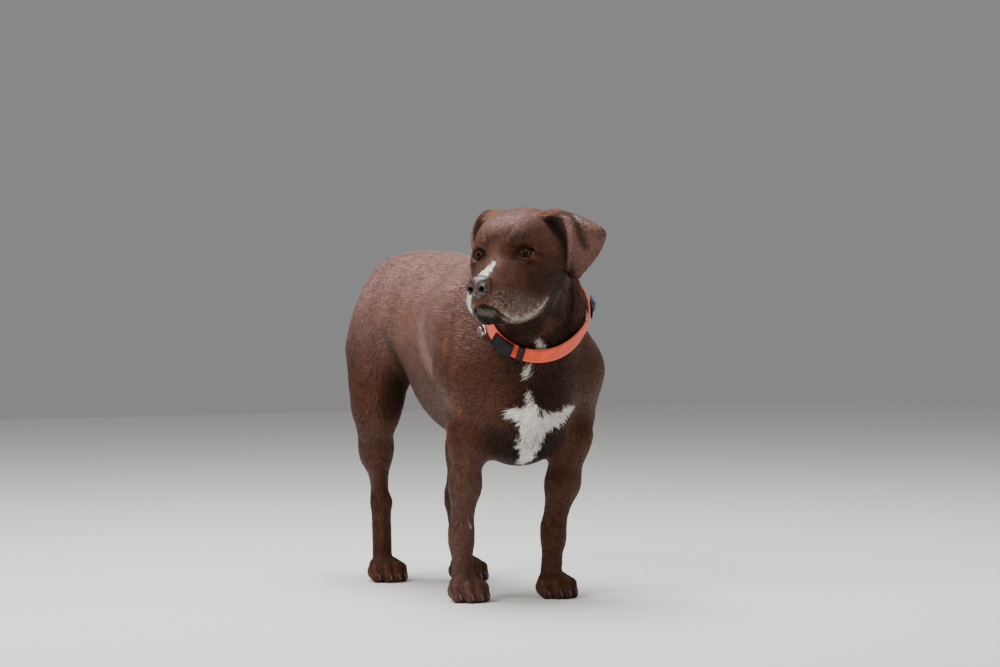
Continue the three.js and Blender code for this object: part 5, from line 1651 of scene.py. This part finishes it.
def makeCoat(points, triangles, normals):
    # closed leaves of five points and six triangles that lie along the coat: root, two edges, ridge, tip
    face, share = seeded(points, triangles)
    corner = triangles[face]
    p = (points[corner] * share[..., None]).sum(1)
    n = unit((normals[corner] * share[..., None]).sum(1))
    print("coat:", len(p), "tufts")
    lie = lieOf(p, n)
    length, width, lift, _ = hairOf(p)
    length *= rng.uniform(0.7, 1.25, len(p))
    width *= rng.uniform(0.75, 1.3, len(p))
    lift *= rng.uniform(0.5, 1.3, len(p))
    tone = coatTone(p)
    pale = (rng.random(len(p)) < (saltOf(p) - 0.07) * 0.75)[:, None]
    whiter = np.clip(saltOf(p) * rng.uniform(0.2, 1.5, len(p)), 0, 1)[:, None]
    frost = marks["grey"] + (marks["white"] - marks["grey"]) * whiter
    tone = np.where(pale, frost, tone)
    bright = rng.uniform(0.66, 1.4, len(p))[:, None]
    turn = np.radians(coat["sway"]) * (rng.normal(size=len(p)) + 0.9 * waves(p, 0.05, 61))
    side = np.cross(n, lie)
    way = lie * np.cos(turn)[:, None] + side * np.sin(turn)[:, None]
    side = np.cross(n, way)
    root = p - n * coat["sink"] - way * (0.1 * length)[:, None]
    middle = p + way * (0.32 * length)[:, None] + n * (0.35 * lift)[:, None]
    half = side * (width / 2)[:, None]
    ridge = middle + way * (0.06 * length)[:, None] + n * (0.24 * width)[:, None]
    tip = p + way * length[:, None] + n * lift[:, None]
    off = skinField(tip)
    tip = tip + n * np.clip(lift - off, -0.003, 0.0015)[:, None]
    vertices = np.stack([root, middle + half, middle - half, ridge, tip], 1)
    tones = np.stack([tone * bright * k for k in (0.7, 0.95, 0.95, 1.05, 1.15)], 1)
    faces = np.array([[0, 3, 1], [0, 2, 3], [3, 4, 1], [3, 2, 4], [0, 1, 2], [4, 2, 1]])
    spread = np.array([[-0.5, 0], [0, 0.5], [0, -0.5], [0.1, 0], [0.5, 0]]) * coat["patch"]
    piece = pieceOf(p)
    for number, name in enumerate(coatPieces):
        mine = np.flatnonzero(piece == number)
        if not len(mine):
            continue
        loops = (faces[None] + 5 * np.arange(len(mine))[:, None, None]).reshape(-1, 3)
        made = newPiece("coat_" + name, vertices[mine].reshape(-1, 3), loops, coatHair)
        addTone(made, np.clip(tones[mine].reshape(-1, 3), 0, 1))
        spot = unwrapOf(p[mine], n[mine])
        uv = (spot[:, None] + spread[None]).reshape(-1, 2)
        addBakeMap(made, uv, loops)
        print("coat:", name, len(loops), "triangles")


def unwrapOf(p, n):
    # a box unwrap of the skin: six tiles, one for each way the skin mostly faces
    axis = np.abs(n).argmax(1)
    tile = axis * 2 + (n[np.arange(len(n)), axis] > 0)
    low, high = p.min(0), p.max(0)
    share = (p - low) / (high - low) * 0.94 + 0.03
    u = np.where(axis == 0, share[:, 1], share[:, 0])
    v = np.where(axis == 2, share[:, 1], share[:, 2])
    return np.column_stack([(tile % 3 + u) / 3, (tile // 3 + v) / 2])


def makeWhiskers():
    # a few stiff hairs on the lips, over the eyes and on the cheek, each a thin four-sided spike
    starts = []
    for side in (1, -1):
        for row in range(3):
            for n in range(4):
                spot = (0.072 - 0.014 * n, side * (0.036 + 0.002 * n), -0.062 - 0.012 * row)
                starts.append((spot, (0.25 - 0.3 * n, side * 1.0, -0.25 - 0.1 * row), 0.02))
        starts += [((0.014, side * 0.034, 0.026), (0.8, side * 0.5, 0.5), 0.013),
                   ((0.008, side * 0.04, 0.027), (0.7, side * 0.6, 0.6), 0.013),
                   ((-0.03, side * 0.075, -0.06), (-0.3, side * 1.0, -0.5), 0.018)]
    spots = pullOn(skinField, fromHead([s[0] for s in starts]), 5, 0.01)
    n = unit(slopeOf(skinField, spots, skinField(spots)))
    points, faces, roots = [], [], []
    for spot, normal, (_, way, long) in zip(spots, n, starts):
        way = unit(unit(headAxes @ np.array(way)) + 0.5 * normal)
        side = unit(np.cross(normal, way))
        over = np.cross(way, side)
        t = np.array([0, 0.5])
        drop = np.array([0, 0, -0.12 * long])
        line = spot - normal * 0.0004 + way * (t * long)[:, None] + drop * (t ** 2)[:, None]
        thick = (0.00016 * (1 - 0.6 * t))[:, None, None]
        ring = line[:, None] + thick * np.array([side, over, -side, -over])[None]
        tip = spot + way * long + drop
        base = len(points) * 10
        points.append(np.concatenate([[spot - normal * 0.0006], ring.reshape(-1, 3), [tip]]))
        faces.append(ordered(points[-1] - points[-1].mean(0), lathe(2, 4)) + base)
        roots.append(spot)
    points, faces = np.concatenate(points), np.concatenate(faces)
    made = newPiece("whiskers", points, faces, coatHair)
    addTone(made, np.tile(linear(70, 56, 48), (len(points), 1)))
    spot = unwrapOf(np.array(roots), n)
    row = np.linspace(-0.5, 0.5, 10)[:, None] * [coat["patch"], 0]
    uv = np.repeat(spot, 10, axis=0) + np.tile(row, (len(roots), 1))
    addBakeMap(made, uv, faces)


def lidTone(tone, points):
    # dark rims on the lids, a pinkish line inside the lower one, and dark against the eyeball
    q = laidOver(toHead(points))
    reach = np.linalg.norm(q - eyeCentre, axis=1)
    for height, colour, width in ((eye["upper"], "rim", 0.0034), (-eye["lower"], "pink", 0.0019),
                                  (-eye["lower"], "rim", 0.0011)):
        line = lidLine(height, ballReach + 0.001)
        d = np.min([lineDistance(q, a, b)[0] for a, b in zip(line[:-1], line[1:])], axis=0)
        cover = ease(1 - (d - width) / 0.0012) * 0.96
        tone += (marks[colour] - tone) * cover[:, None]
    inside = ease(1 - (reach - ballReach - 0.0006) / 0.001)[:, None]
    tone += (marks["rim"] - tone) * inside
    return tone


def dressSkin(points, triangles):
    # the one skin, with its colours and the weights that steer its hair strokes
    starts = ("head", "trunk", "neck", "tail", "ear", "fore", "hind")
    flesh = [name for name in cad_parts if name.split("_")[0] in starts]
    piece = newPiece("skin", points, triangles, coatSkin, flesh)
    tone = lidTone(coatTone(points) * 0.9, points)
    sole = ease((0.0035 - points[:, 2]) / 0.002)[:, None]
    tone += (marks["pad"] - tone) * sole
    addTone(piece, tone)
    q = toHead(points)
    addWeight(piece, "onHead", ease(1 - (np.linalg.norm(q - [-0.03, 0, -0.03], axis=1) - 0.1) / 0.05))
    addWeight(piece, "onLegs", ease((0.34 - points[:, 2]) / 0.08))


skinPoints, skinTriangles = makeSkin()
skinPoints = folded(skinPoints, skinTriangles)
dressSkin(skinPoints, skinTriangles)
makeCoat(skinPoints, skinTriangles, facing(skinPoints, skinTriangles))
makeWhiskers()
for side in (1, -1):
    makeEye(side)
makeNose()
makeClaws()
makeStrap()
makeBuckle()
makeSlider()
makeTracker()
makeTag()


# The floor, the lamps and the camera.
stageSet = {"floorColour": (0.78, 0.77, 0.74, 1), "floorSize": 6.0}


def makeStage():
    # a pale square floor that the dog stands on, kept out of the part
    half = stageSet["floorSize"]
    mesh = bpy.data.meshes.new("floor")
    corners = [(-half, -half, 0), (half, -half, 0), (half, half, 0), (-half, half, 0)]
    mesh.from_pydata(corners, [], [(0, 1, 2, 3)])
    floor = bpy.data.objects.new("floor", mesh)
    bpy.context.scene.collection.objects.link(floor)
    material = bpy.data.materials.new("pale floor")
    material.use_nodes = True
    shader = material.node_tree.nodes["Principled BSDF"]
    shader.inputs["Base Color"].default_value = stageSet["floorColour"]
    shader.inputs["Roughness"].default_value = 0.8
    mesh.materials.append(material)


def addLight(name, spot, aim, size, power, colour):
    # a soft square lamp at a spot, turned to face its aim
    lamp = bpy.data.lights.new(name, "AREA")
    lamp.size, lamp.energy, lamp.color = size, power, colour
    light = bpy.data.objects.new(name, lamp)
    bpy.context.scene.collection.objects.link(light)
    light.location = spot
    light.rotation_euler = (Vector(aim) - Vector(spot)).to_track_quat("-Z", "Y").to_euler()


def makeCamera():
    # 7 m from the dog, 25 degrees round to its right, at the height of its back, looking down a little
    camera = bpy.data.cameras.new("camera")
    camera.lens, camera.sensor_width = 144.4, 36
    view = bpy.data.objects.new("camera", camera)
    bpy.context.scene.collection.objects.link(view)
    view.location = place + [-2.888, -6.377, 0.65]
    view.rotation_euler = (math.radians(90 - 1.67), 0, math.radians(-25))
    bpy.context.scene.camera = view


makeStage()
aim = (0, 0, 0.4)
addLight("sky", (-0.2, 0.3, 3.3), aim, 2.2, 190, (0.95, 0.97, 1.0))
addLight("key", (-3.0, -1.3, 2.7), aim, 1.6, 105, (1.0, 0.97, 0.93))
addLight("front", (-2.4, -4.2, 1.9), aim, 1.2, 26, (1.0, 0.97, 0.94))
addLight("side", (3.0, -1.6, 1.8), aim, 1.4, 12, (1.0, 0.95, 0.88))
world = bpy.data.worlds.new("studio")
world.use_nodes = True
world.node_tree.nodes["Background"].inputs[0].default_value = (0.9, 0.9, 0.9, 1)
world.node_tree.nodes["Background"].inputs[1].default_value = 0.28
bpy.context.scene.world = world
makeCamera()

print("done")
